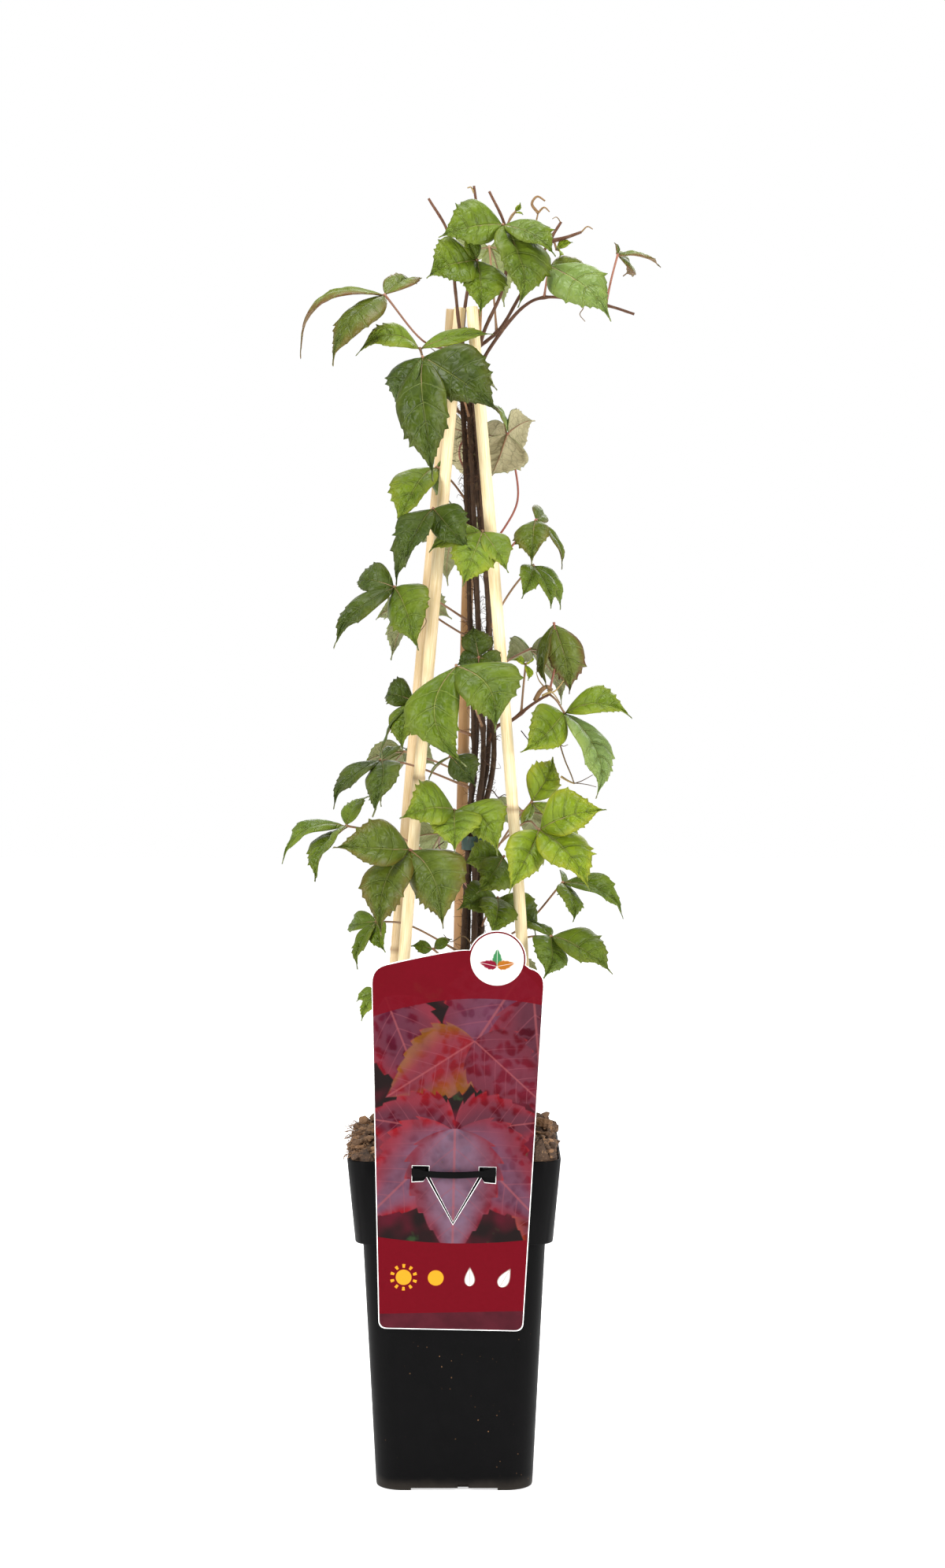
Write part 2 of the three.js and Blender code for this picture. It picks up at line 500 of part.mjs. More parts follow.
// Leaves by stem. A stalk leaves the stem at a height, or from a point on a twig, passes the points of via
// and ends in the hub, where three blades meet. A blade is its tip, its width and what sets it apart:
// the way its upper side faces, how far it arches up or bends sideways as a share of its length.
const leaves = {
  front: [
    { at: 638, via: [[3, -10, 643], [-15, -11, 647]], hub: [-39, -20, 674], blades: [
      [-70.3, -42, 637.8, 25], [-88.3, -8, 639.8, 20, { face: [-0.5, 0, 0.85], arch: 0.28 }],
      [-21.4, 4, 684.5, 16, { face: [0, -0.3, 1] }],
    ] },
    { at: 606, via: [[3, -16, 620]], hub: [-17.6, -26, 639], blades: [
      [-10.8, -44, 572.4, 28], [25.3, -40, 609.8, 29], [-32, -20, 607.5, 20, { face: [-0.9, -0.45, 0.2] }],
    ] },
    { at: 533, via: [[4, -18, 544.4]], hub: [-11.9, -22, 554.4], blades: [
      [9, -38, 531, 20], [-28.5, -40, 523.4, 18], [-33.7, -24, 511.4, 14],
    ] },
    { at: 520, via: [], hub: [15.9, -26, 541.4], blades: [
      [-15, -22, 530.4, 14], [5.9, -40, 510.4, 25], [29.8, -36, 518.4, 16],
    ] },
    { at: 450, via: [], hub: [13.9, -22, 470.4], blades: [
      [10.3, -14, 488.4, 14], [1.5, -26, 466.4, 10], [28, -30, 465.4, 11],
    ] },
    { at: 430, via: [], hub: [1.3, -44, 466.4], blades: [
      [5.5, -56, 410.4, 28, { bend: -0.26 }], [21.5, -60, 429.4, 32, { bend: 0.2 }],
    ] },
    { at: 375, via: [], hub: [0.2, -40, 385.4], blades: [
      [-29, -46, 388.4, 24, { arch: 0.2 }], [0.3, -62, 368.4, 26], [24.3, -56, 365.4, 22],
    ] },
    { at: 335, via: [[-6, -34, 354.4]], hub: [-24.5, -46, 363.4], blades: [
      [-67.2, -54, 366.4, 28, { arch: 0.2, bend: 0.1 }], [-40.8, -64, 317.4, 27, { bend: -0.12 }],
      [-6.2, -64, 321.4, 31, { bend: 0.17 }],
    ] },
    { at: 350, via: [[40, -12, 376.4]], hub: [47.8, -40, 374.4], blades: [
      [85.2, -44, 385.4, 25, { arch: 0.2 }], [75.1, -62, 343.4, 29], [30.5, -62, 341.4, 21],
    ] },
  ],
  right: [
    { at: 705, via: [], hub: [27.6, -14, 713.5], blades: [
      [-8.6, -22, 709.5, 27], [57.6, -30, 696.5, 22], [39, -36, 668.8, 33],
    ] },
    { at: 530, via: [[28.3, 2, 543.4], [36, 5, 559.4], [33.8, 6, 582.4]], hub: [30.2, 6, 597.4], blades: [
      [20, 4, 615.8, 14], [45.5, 18, 606, 21, { face: [0.2, 0.9, 0.4] }],
      [21.6, -8, 572.4, 28, { face: [0.2, 1, 0.2] }],
    ] },
    { at: 515, via: [[31.9, -4, 532.4]], hub: [46.2, -10, 551.1], blades: [
      [44.9, -34, 523.9, 18], [62.6, -14, 520.9, 14, { face: [0.8, -0.3, 0.5] }], [50, 18, 552.4, 12],
    ] },
    { at: 485, via: [[27.4, -4, 500.4], [36.2, -12, 513.4]], hub: [44.7, -16, 522.4], blades: [
      [37.8, -34, 504.4, 14], [61.4, -8, 497.4, 16], [54.9, -22, 498.4, 14],
    ] },
    { at: [53.9, -4, 449.4], via: [[58, -1, 470.4]], hub: [56.8, 2, 489.4], blades: [
      [66, 6, 448.4, 24, { face: [0.2, -1, 0.3] }], [51, -8, 452.4, 12, { face: [-0.8, -0.5, 0] }],
    ] },
    { at: [38, -7, 438.4], via: [], hub: [40.5, -12, 466.4], blades: [
      [34, -14, 469.4, 6], [45, -16, 470.4, 6], [42.5, -18, 457.4, 6],
    ] },
    { at: [53.9, -4, 449.4], via: [], hub: [62.3, -16, 439], blades: [
      [100.6, -20, 437.4, 21, { arch: 0.2 }], [82, -36, 392.4, 29, { bend: 0.12 }], [38.5, -38, 417.4, 23],
    ] },
    { at: 345, via: [[32, 2, 372.4]], hub: [43.9, -12, 388.2], blades: [
      [59.5, 4, 411.9, 20], [38, -6, 373.2, 10], [73.4, 2, 360.4, 16],
    ] },
    { at: 335, via: [], hub: [28, -30, 358.4], blades: [
      [6, -26, 356.4, 16], [13.4, -42, 340.4, 15],
    ] },
    { at: 315, via: [], hub: [24.5, -22, 334.4], blades: [
      [3.7, -36, 333, 13], [22.7, -44, 318.4, 18], [48, 0, 313.4, 16],
    ] },
    { at: 285, via: [[38, -4, 308.4]], hub: [54.8, -26, 313], blades: [
      [89.7, -34, 294.4, 22], [51.3, -42, 294, 20], [39, -6, 318.4, 14],
    ] },
  ],
  back_right: [
    { at: [50.9, 0, 674], via: [], hub: [53.9, -6, 691], blades: [
      [88, -30, 660.8, 28, { face: [0.1, -0.9, 0.5] }], [82.2, 14, 684.5, 16], [47, -15, 693.5, 8],
    ] },
    { at: [85.6, -6, 669], via: [], hub: [92.3, -6, 697.5], blades: [
      [117.3, 2, 692.2, 14, { face: [0, -0.3, 1] }], [90.7, -6, 704.5, 7], [100, 28, 688.5, 14],
    ] },
    { at: 300, via: [[40, 2, 316.4]], hub: [61.4, -20, 343], blades: [
      [67.7, -36, 324.4, 15], [96.1, -22, 326, 14, { arch: 0.2 }], [62, 14, 332.4, 14],
    ] },
    { at: 386, via: [], hub: [40, 44, 379.4], rear: true },
    { at: 275, via: [], hub: [24, 48, 289.4], rear: true },
    { at: 460, via: [], hub: [44, 30, 474.4], rear: true },
  ],
  back_left: [
    { at: [55, 5, 708], via: [], hub: [57.9, 4, 701.5], blades: [
      [67.3, 4, 705.5, 6], [60, -8, 696.5, 6],
    ] },
    { at: 575, via: [[3, 12, 584.4], [4, 20, 592.4]], hub: [9, 22, 597.4], blades: [
      [6, 38, 571, 25], [-16, 36, 602.4, 18], [34, 40, 592.4, 18],
    ] },
    { at: 606, via: [[0, 20, 616]], hub: [-2, 38, 634], rear: true },
    { at: 655, via: [], hub: [20, 30, 705.5], rear: true },
    { at: 525, via: [[1, 14, 535.4]], hub: [0, 42, 544.4], rear: true },
    { at: 350, via: [[-8, 22, 358.4]], hub: [-8, 46, 366.4], rear: true },
    { at: 400, via: [], hub: [-30, 44, 414.4], rear: true },
    { at: 250, via: [], hub: [-22, 48, 266.4], rear: true },
    { at: 478, via: [[-4, 14, 488.4]], hub: [-22, 36, 500.4], rear: true },
  ],
  left: [
    { at: 684, via: [], hub: [13, -16, 693.5], blades: [
      [-14.5, -24, 685.5, 28], [15.7, -30, 664.8, 22], [5, -18, 706.5, 8],
    ] },
    { at: 608, via: [[-10, 2, 617]], hub: [-19.1, -18, 644], blades: [
      [-54.9, -26, 641.8, 20, { arch: 0.3 }], [22.5, -18, 652.8, 12],
    ] },
    { at: 559, via: [], hub: [-10, 2, 578.4], blades: [
      [-32.4, -24, 543, 25, { arch: 0.15, face: [-0.4, -0.9, 0.5] }], [0.9, 6, 582, 9], [-2.3, 3, 557.4, 12],
    ] },
    { at: 490, via: [[-14, 4, 504.4]], hub: [-33.5, -20, 510.2], blades: [
      [-68, -34, 477.4, 21], [-22, -44, 475.4, 27, { bend: 0.1 }], [-56.2, -2, 512.4, 16, { arch: 0.2 }],
    ] },
    { at: 425, via: [[-30, -2, 442.4]], hub: [-22.5, -28, 446], blades: [
      [-38, -18, 446.4, 12, { arch: 0.3 }], [-30.8, -42, 420.9, 16],
      [-41.8, -34, 413.4, 12, { face: [-1, 0, 0.3] }],
    ] },
    { at: 395, via: [[-24, 0, 408.4]], hub: [-41.4, -18, 412.4], blades: [
      [-69.6, -30, 387.4, 16], [-45.8, -40, 382.4, 24, { bend: 0.22 }], [-28.3, -6, 419.4, 10],
    ] },
    { at: 402, via: [], hub: [-2.2, -14, 414.4], blades: [
      [11.7, -20, 397.4, 18], [-15.6, -10, 399.4, 8, { face: [-0.3, 0, 0.9] }],
    ] },
    { at: 340, via: [[-30, 4, 366.4]], hub: [-61.5, -10, 374.4], blades: [
      [-50, 0, 391.4, 19], [-98.6, -16, 354.4, 17, { arch: 0.22 }], [-80, -36, 345.4, 26],
    ] },
    { at: 300, via: [[-26, 2, 316.4]], hub: [-44, -20, 320.9], blades: [
      [-57.2, -28, 295.4, 12], [-40, -34, 304.4, 14], [-62, 6, 312.4, 12],
    ] },
    { at: 255, via: [[-24, -4, 274.4]], hub: [-42.8, -30, 281.8], blades: [
      [-52.7, -40, 267, 12], [-56, -26, 276.4, 8],
    ] },
    { at: 285, via: [], hub: [-12, -14, 304.4], blades: [
      [-24.6, -14, 306.4, 8], [-1.3, -14, 310.4, 8],
    ] },
  ],
};

// The hidden leaves at the back share one shape: a drooping middle blade and two that spread
function rearBlades(hub) {
  const out = new THREE.Vector3(hub.x - plantAxis.x, hub.y - plantAxis.y, 0).normalize();
  const side = new THREE.Vector3(-out.y, out.x, 0);
  const blade = (outward, sideways, drop, width) => {
    const tip = hub.clone().addScaledVector(out, outward).addScaledVector(side, sideways);
    return [tip.x, tip.y, tip.z - drop, width];
  };
  return [blade(24, 0, 32, 18), blade(3, 29, 8, 17), blade(3, -29, 8, 17)];
}

// Half of a blade's toothed edge from its base to its tip: share of the length, and of the width
const wideEdge = [[0.1, 0.07], [0.26, 0.46], [0.42, 0.52], [0.46, 0.41], [0.66, 0.34], [0.7, 0.21]];
const smallEdge = [[0.1, 0.07], [0.36, 0.5], [0.41, 0.38], [0.7, 0.25]];
const wideMidrib = [0, 0.3, 0.62, 1];
const smallMidrib = [0, 0.42, 1];
const smallWidth = 19;

// A blade: a thin arched leaf folded along its midrib, its underside split into the same triangles
function makeBlade(hub, [x, y, z, width, shape = {}], facing) {
  const along = new THREE.Vector3(x, y, z).sub(hub);
  const length = along.length();
  along.normalize();
  const up = shape.face ? vector(shape.face) : facing.clone();
  up.addScaledVector(along, -up.dot(along)).normalize();
  const across = up.clone().cross(along);
  const base = hub.clone().addScaledVector(along, bladeStart);
  const place = (share, out) => {
    const crown = 4 * share * (1 - share) * length;
    const rise = crown * (shape.arch ?? bladeArch) + Math.abs(out) * width * bladeFold;
    const point = base.clone().addScaledVector(along, share * (length - bladeStart));
    return point.addScaledVector(across, out * width + crown * (shape.bend ?? 0)).addScaledVector(up, rise);
  };
  const edge = width < smallWidth ? smallEdge : wideEdge;
  const midrib = width < smallWidth ? smallMidrib : wideMidrib;
  const shares = [...midrib, ...edge.map(([share]) => share), ...edge.map(([share]) => share)];
  const outs = [...midrib.map(() => 0), ...edge.map(([, out]) => out), ...edge.map(([, out]) => -out)];
  const top = shares.map((share, i) => place(share, outs[i]));
  const first = midrib.length;
  const last = first - 1;
  const left = [0, ...edge.map((_, i) => first + i), last];
  const right = [0, ...edge.map((_, i) => first + edge.length + i), last];
  const middle = midrib.map((_, i) => i);
  const upper = [...ladder(middle, left, shares, 1), ...ladder(middle, right, shares, -1)];
  const count = top.length;
  const faces = [];
  for (const [a, b, c] of upper) {
    faces.push(a, b, c, count + a, count + c, count + b);
  }
  const rim = [...right, ...left.slice(1, -1).reverse()];
  rim.forEach((a, i) => {
    const b = rim[(i + 1) % rim.length];
    faces.push(count + a, count + b, b, count + a, b, a);
  });
  const under = top.map((point) => point.clone().addScaledVector(up, -bladeThickness));
  return solidFrom([...top, ...under], faces);
}

// Triangles between the midrib and one edge, which share their first and last points. The outline is hollow
// beside its base, so nothing but the first edge point is joined to the base.
function ladder(middle, edge, shares, hand) {
  const triangles = [];
  let [i, j] = [0, 0];
  while (i + 1 < middle.length || j + 1 < edge.length) {
    const stepMiddle = j + 1 === edge.length
      || (i === 0 && j === 1)
      || (i + 1 < middle.length && shares[middle[i + 1]] < shares[edge[j + 1]]);
    const next = stepMiddle ? middle[i + 1] : edge[j + 1];
    const corners = [middle[i], next, edge[j]];
    if (new Set(corners).size === 3) {
      triangles.push(hand > 0 ? corners : [corners[0], corners[2], corners[1]]);
    }
    if (stepMiddle) {
      i++;
    } else {
      j++;
    }
  }
  return triangles;
}

// A leaf: its stalk and three blades that meet at the hub
function makeLeaf(samples, leaf) {
  const hub = vector(leaf.hub);
  const start = Array.isArray(leaf.at) ? vector(leaf.at) : pointAtHeight(samples, leaf.at);
  const middle = start.clone().lerp(hub, 0.5).add(new THREE.Vector3(0, 0, stalkRise));
  const via = leaf.via.length ? leaf.via.map(vector) : [middle];
  const arrival = hub.clone().sub(via[via.length - 1]).normalize();
  const end = hub.clone().addScaledVector(arrival, hubReach);
  const stalk = tube([start, ...via, end], stalkRadius, stalkRadius, stalkSides, 1);
  const out = new THREE.Vector3(hub.x - plantAxis.x, hub.y - plantAxis.y, 0).normalize();
  const facing = out.multiplyScalar(0.8).add(new THREE.Vector3(0, hub.y < 10 ? -0.3 : 0, 0.55));
  const blades = leaf.rear ? rearBlades(hub) : leaf.blades;
  return [stalk, ...blades.map((blade) => makeBlade(hub, blade, facing))];
}

// The outer skin alone, without a hollow that the joining sealed or a loose scrap
function largestBody(solid) {
  return solid.decompose().reduce((best, body) => (body.volume() > best.volume() ? body : best));
}

// A leafy stem: the woody stem, its twigs and its leaves as one body
function makeStem(name) {
  const { line, twigs } = stems[name];
  const samples = smoothLine(line);
  const pieces = [tube(line, footRadius, tipRadius, stemSides, 1)];
  for (const twig of twigs) {
    pieces.push(tube(twig.map(vector), 1.2, 0.8, 5, 2));
  }
  for (const leaf of leaves[name]) {
    pieces.push(...makeLeaf(samples, leaf));
  }
  return largestBody(wasm.Manifold.union(pieces).simplify(mergeLength));
}

const group = new THREE.Group();
group.add(toMesh(makePot(), 'pot', potMaterial));
group.add(toMesh(makeSoil(), 'soil', soilMaterial));
for (const [name, cane] of Object.entries(canes)) {
  group.add(toMesh(makeCane(cane), `cane_${name}`, caneMaterial));
}
group.add(toMesh(makeTie(), 'tie_upper', tieMaterial));
group.add(toMesh(makeBand(), 'tie_lower', bandMaterial));
group.add(toMesh(makeLabel(), 'label', labelMaterial));
for (const name of Object.keys(stems)) {
  group.add(toMesh(makeStem(name), `stem_${name}`, plantMaterial));
}

export default group;
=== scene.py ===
import math
import random

import bmesh
import bpy
from mathutils import Matrix, Vector, noise


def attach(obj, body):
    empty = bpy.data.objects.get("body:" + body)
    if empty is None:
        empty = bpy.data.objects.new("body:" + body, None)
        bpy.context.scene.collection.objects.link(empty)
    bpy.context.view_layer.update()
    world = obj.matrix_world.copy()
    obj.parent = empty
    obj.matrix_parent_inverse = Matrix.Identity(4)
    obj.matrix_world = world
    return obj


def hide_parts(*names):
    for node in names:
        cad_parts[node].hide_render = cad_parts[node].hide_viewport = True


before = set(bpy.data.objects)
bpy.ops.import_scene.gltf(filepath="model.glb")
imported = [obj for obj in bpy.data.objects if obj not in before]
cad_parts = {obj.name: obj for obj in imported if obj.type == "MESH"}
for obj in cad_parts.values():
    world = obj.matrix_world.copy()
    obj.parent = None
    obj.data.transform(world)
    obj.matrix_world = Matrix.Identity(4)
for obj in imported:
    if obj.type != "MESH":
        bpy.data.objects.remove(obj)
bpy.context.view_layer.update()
MM = 0.001


# Studio
# A white sheet of paper in a white room, lit by broad soft boxes at both sides, above and behind, with the
# camera two metres off and a little above the plant's middle. None of it belongs to the object.
camera_place = (10.35, -2000, 513)
camera_pitch = 3.3
focal_pixels = 4453
image_height = 1992
sensor_side = 36
floor_side = 9000
plant_middle = (0, 0, 400)
front_light = 0.12
back_light = 0.75
light_blend = 0.6


def add_object(name, data):
    """A new object in the scene that shows the data."""
    added = bpy.data.objects.new(name, data)
    bpy.context.scene.collection.objects.link(added)
    return added


def add_softbox(name, place, aim, width, height, power):
    """A flat rectangular light that faces a point."""
    data = bpy.data.lights.new(name, "AREA")
    data.shape = "RECTANGLE"
    data.size = width * MM
    data.size_y = height * MM
    data.energy = power
    lamp = add_object(name, data)
    lamp.location = Vector(place) * MM
    lamp.rotation_euler = (Vector(aim) - Vector(place)).to_track_quat("-Z", "Y").to_euler()


lens = bpy.data.cameras.new("camera")
lens.sensor_width = sensor_side
lens.lens = focal_pixels / image_height * sensor_side
camera = add_object("camera", lens)
camera.location = Vector(camera_place) * MM
camera.rotation_euler = (math.radians(90 - camera_pitch), 0, 0)
bpy.context.scene.camera = camera

add_softbox("softbox_left", (-1500, -1500, 1200), plant_middle, 700, 1300, 44)
add_softbox("softbox_right", (1500, -1400, 1000), plant_middle, 600, 1300, 34)
add_softbox("softbox_top", (0, -200, 2100), plant_middle, 1200, 900, 34)
add_softbox("softbox_back", (300, 1600, 1300), plant_middle, 1400, 1000, 14)

# The room is white to the camera, and lights the object more from behind than from in front
world = bpy.data.worlds.new("white_room")
bpy.context.scene.world = world
world.use_nodes = True
room = world.node_tree
seen = room.nodes.new("ShaderNodeLightPath")
brightness = room.nodes.new("ShaderNodeMapRange")
brightness.inputs["To Max"].default_value = 1.0
way = room.nodes.new("ShaderNodeTexCoord")
depth = room.nodes.new("ShaderNodeSeparateXYZ")
room_light = room.nodes.new("ShaderNodeMapRange")
room_light.inputs["From Min"].default_value = -light_blend
room_light.inputs["From Max"].default_value = light_blend
room_light.inputs["To Min"].default_value = front_light
room_light.inputs["To Max"].default_value = back_light
room.links.new(way.outputs["Generated"], depth.inputs["Vector"])
room.links.new(depth.outputs["Y"], room_light.inputs["Value"])
room.links.new(room_light.outputs["Result"], brightness.inputs["To Min"])
room.links.new(seen.outputs["Is Camera Ray"], brightness.inputs["Value"])
room.nodes["Background"].inputs["Color"].default_value = (1, 1, 1, 1)
room.links.new(brightness.outputs["Result"], room.nodes["Background"].inputs["Strength"])
bpy.context.scene.view_settings.view_transform = "Standard"

bpy.ops.object.select_all(action="DESELECT")
bpy.ops.mesh.primitive_plane_add(size=floor_side * MM)
floor = bpy.context.object
floor.name = "floor"
paper = bpy.data.materials.new("white_paper")
paper.use_nodes = True
paper_finish = paper.node_tree.nodes["Principled BSDF"]
paper_finish.inputs["Base Color"].default_value = (0.9, 0.9, 0.9, 1)
paper_finish.inputs["Roughness"].default_value = 0.8
paper_finish.inputs["Emission Color"].default_value = (1, 1, 1, 1)
paper_finish.inputs["Emission Strength"].default_value = 0.6
floor.data.materials.append(paper)


# Pot
# A tall square nursery pot, injection-moulded from thin black polypropylene. A stacking step makes its
# deep collar, four low feet lift its base off the ground, and a bowed strap for the label stands in front.
wall = 1.4
base_half = 44.5
base_corner = 15
base_round = 2
waist_half = 51.5
collar_half = 55.7
collar_z = 142
collar_step = 0.6
rim_half = 60
rim_corner = 12
rim_z = 190
rim_round = 0.35
floor_z = 3.2
foot_height = 1.5
foot_gap = 49
foot_gap_depth = 15
notch_x = 5
notch_width = 6
notch_height = 3.5
drain_radius = 3.2
drain_place = 27
drain_sides = 24
corner_steps = 10
strap_width = 47
strap_height = 4.5
strap_z = 184.5
strap_thickness = 1.6
strap_bulge = 1.2
strap_sag = 1.6
strap_ear = 0.8
strap_slim = 0.72
strap_round = 0.45
strap_cuts = 11
post_inner = 16
post_outer = 21.5
label_gap = 0.4
label_thickness = 0.8
clearance = 0.4

collar_slope = (rim_half - collar_half) / (rim_z - collar_z - collar_step)


def collar_front(z):
    """How far the collar's front stands forward at a height."""
    return rim_half + (z - rim_z) * collar_slope


class Value:
    """A number that varies over a surface: arithmetic on it adds Math nodes."""

    def __init__(self, paint, socket):
        self.paint = paint
        self.socket = socket

    def math(self, operation, first, second):
        return self.paint.node("ShaderNodeMath", {"operation": operation}, {0: first, 1: second})

    def __add__(self, other):
        return self.math("ADD", self, other)

    def __sub__(self, other):
        return self.math("SUBTRACT", self, other)

    def __rsub__(self, other):
        return self.math("SUBTRACT", other, self)

    def __mul__(self, other):
        return self.math("MULTIPLY", self, other)

    def __truediv__(self, other):
        return self.math("DIVIDE", self, other)

    def __pow__(self, other):
        return self.math("POWER", self, other)

    def __abs__(self):
        return self.math("ABSOLUTE", self, 0)

    def fraction(self):
        return self.math("FRACT", self, 0)

    def swing(self, reach):
        """Runs up and down between nought and a reach."""
        return self.math("PINGPONG", self, reach)

    __radd__ = __add__
    __rmul__ = __mul__


class Paint:
    """A finish under construction: a material whose one shader takes what the nodes work out."""

    def __init__(self, name):
        self.material = bpy.data.materials.new(name)
        self.material.use_nodes = True
        self.tree = self.material.node_tree
        self.shader = self.tree.nodes["Principled BSDF"]

    def node(self, kind, settings, inputs, out=0):
        """Adds a node, makes its settings, feeds its inputs, and gives one of its outputs."""
        node = self.tree.nodes.new(kind)
        for key, setting in settings.items():
            setattr(node, key, setting)
        for key, fed in inputs.items():
            self.feed(node.inputs[key], fed)
        return Value(self, node.outputs[out])

    def feed(self, socket, fed):
        if isinstance(fed, Value):
            self.tree.links.new(fed.socket, socket)
        elif isinstance(fed, tuple) and len(fed) == 3 and socket.type == "RGBA":
            socket.default_value = (*fed, 1)
        else:
            socket.default_value = fed

    def place(self):
        return self.node("ShaderNodeTexCoord", {}, {}, "Object")

    def own_map(self):
        return self.node("ShaderNodeUVMap", {"uv_map": "own_map"}, {})

    def tone(self, out="Color"):
        """The tone that each point of the mesh was given."""
        return self.node("ShaderNodeVertexColor", {"layer_name": "tone"}, {}, out)

    def part(self, vector, axis):
        return self.node("ShaderNodeSeparateXYZ", {}, {0: vector}, axis)

    def vector(self, x, y, z=0.0):
        return self.node("ShaderNodeCombineXYZ", {}, {0: x, 1: y, 2: z})

    def stretch(self, vector, factors):
        return self.node("ShaderNodeVectorMath", {"operation": "MULTIPLY"}, {0: vector, 1: factors})

    def shift(self, vector, other):
        return self.node("ShaderNodeVectorMath", {"operation": "ADD"}, {0: vector, 1: other})

    def cloud(self, vector, scale, detail=3.0, roughness=0.55):
        inputs = {"Vector": vector, "Scale": scale, "Detail": detail, "Roughness": roughness}
        return self.node("ShaderNodeTexNoise", {}, inputs, "Fac")

    def cells(self, vector, scale, feature="F1"):
        inputs = {"Vector": vector, "Scale": scale}
        return self.node("ShaderNodeTexVoronoi", {"feature": feature}, inputs, "Distance")

    def step(self, value, low, high):
        """Rises smoothly from nought to one between two values."""
        inputs = {"Value": value, "From Min": low, "From Max": high}
        return self.node("ShaderNodeMapRange", {"interpolation_type": "SMOOTHSTEP"}, inputs)

    def mix(self, share, first, second):
        settings = {"data_type": "RGBA", "clamp_factor": True}
        return self.node("ShaderNodeMix", settings, {0: share, 6: first, 7: second}, 2)

    def finish(self, color, roughness, height=None, depth=0.0003, strength=0.5, **constants):
        """Joins colour, roughness and relief to the shader, and sets its plain numbers."""
        self.feed(self.shader.inputs["Base Color"], color)
        self.feed(self.shader.inputs["Roughness"], roughness)
        if height is not None:
            inputs = {"Height": height, "Distance": depth, "Strength": strength}
            self.feed(self.shader.inputs["Normal"], self.node("ShaderNodeBump", {}, inputs))
        for key, number in constants.items():
            self.shader.inputs[key.replace("_", " ")].default_value = number
        return self.material


def black_plastic():
    """Half-matt moulded plastic, faintly mottled, with dust and crumbs of peat stuck on its lower part."""
    paint = Paint("black_plastic")
    place = paint.place()
    mottle = paint.cloud(place, 90, 4)
    streaks = paint.cloud(paint.stretch(place, (260, 260, 9)), 1, 2)
    dust = 1 - paint.step(paint.cells(place, 240), 0.03, 0.13)
    patches = paint.step(paint.cloud(place, 26, 2), 0.52, 0.66)
    low = 1 - paint.step(paint.part(place, "Z"), 0.10, 0.15)
    specks = dust * patches * (low * 0.85 + 0.15)
    black = paint.mix(mottle, (0.0010, 0.0010, 0.0011), (0.0030, 0.0028, 0.0030))
    color = paint.mix(specks, black, (0.16, 0.085, 0.04))
    hem = 1 - paint.step(paint.part(place, "Z") + mottle * 0.006, 0.004, 0.011)
    color = paint.mix(hem * (0.25 + patches * 0.4), color, (0.075, 0.062, 0.05))
    roughness = 0.36 + mottle * 0.16 + streaks * 0.1 + specks * 0.4
    relief = streaks * 0.5 + paint.cloud(place, 900, 2) * 0.35 + specks
    return paint.finish(color, roughness, relief, 0.0002, 0.35, Specular_IOR_Level=0.05)


def take_up(piece):
    """Leaves only this piece selected, and works on it."""
    bpy.ops.object.select_all(action="DESELECT")
    piece.select_set(True)
    bpy.context.view_layer.objects.active = piece


def add_ring(half, corner, height):
    """A square loop of edges with round corners, in the mesh that is being edited."""
    bpy.ops.mesh.primitive_plane_add(size=2 * half * MM, location=(0, 0, height * MM))
    bpy.ops.mesh.bevel(offset_type="OFFSET", offset=corner * MM, segments=corner_steps, affect="VERTICES")
    bpy.ops.mesh.delete(type="ONLY_FACE")


def select_rings(piece, first, last):
    """Selects whole loops by their place in the order in which they were added."""
    size = 4 * (corner_steps + 1)
    bpy.ops.mesh.select_all(action="DESELECT")
    shape = bmesh.from_edit_mesh(piece.data)
    shape.verts.ensure_lookup_table()
    for vertex in shape.verts[first * size:(last + 1) * size]:
        vertex.select = True
    shape.select_flush(True)
    bmesh.update_edit_mesh(piece.data)


def raise_walls(name, rings):
    """A closed skin over square loops: bridged from each to the next, and filled at both ends."""
    piece = add_object(name, bpy.data.meshes.new(name))
    take_up(piece)
    bpy.ops.object.mode_set(mode="EDIT")
    bpy.ops.mesh.select_mode(type="VERT")
    for half, corner, height in rings:
        add_ring(half, corner, height)
    for ring in range(len(rings) - 1):
        select_rings(piece, ring, ring + 1)
        bpy.ops.mesh.bridge_edge_loops()
    for ring in (0, len(rings) - 1):
        select_rings(piece, ring, ring)
        bpy.ops.mesh.edge_face_add()
    bpy.ops.mesh.select_all(action="SELECT")
    bpy.ops.mesh.normals_make_consistent(inside=False)
    bpy.ops.object.mode_set(mode="OBJECT")
    return piece


def add_block(size, place):
    """A plain block, ready to be worked or to cut with."""
    bpy.ops.object.select_all(action="DESELECT")
    bpy.ops.mesh.primitive_cube_add(size=1, location=Vector(place) * MM, scale=Vector(size) * MM)
    bpy.ops.object.transform_apply()
    return bpy.context.object


def change_shape(piece, kind, **settings):
    """Puts a modifier on a piece and applies it."""
    take_up(piece)
    change = piece.modifiers.new("change", kind)
    for key, setting in settings.items():
        setattr(change, key, setting)
    bpy.ops.object.modifier_apply(modifier=change.name)


def work_in(piece, tool, operation):
    """Cuts a piece with a tool, or joins the tool to it, and clears the tool away."""
    change_shape(piece, "BOOLEAN", operation=operation, solver="EXACT", object=tool)
    bpy.data.objects.remove(tool)


def smooth_faces(piece, degrees):
    take_up(piece)
    bpy.ops.object.shade_smooth_by_angle(angle=math.radians(degrees))


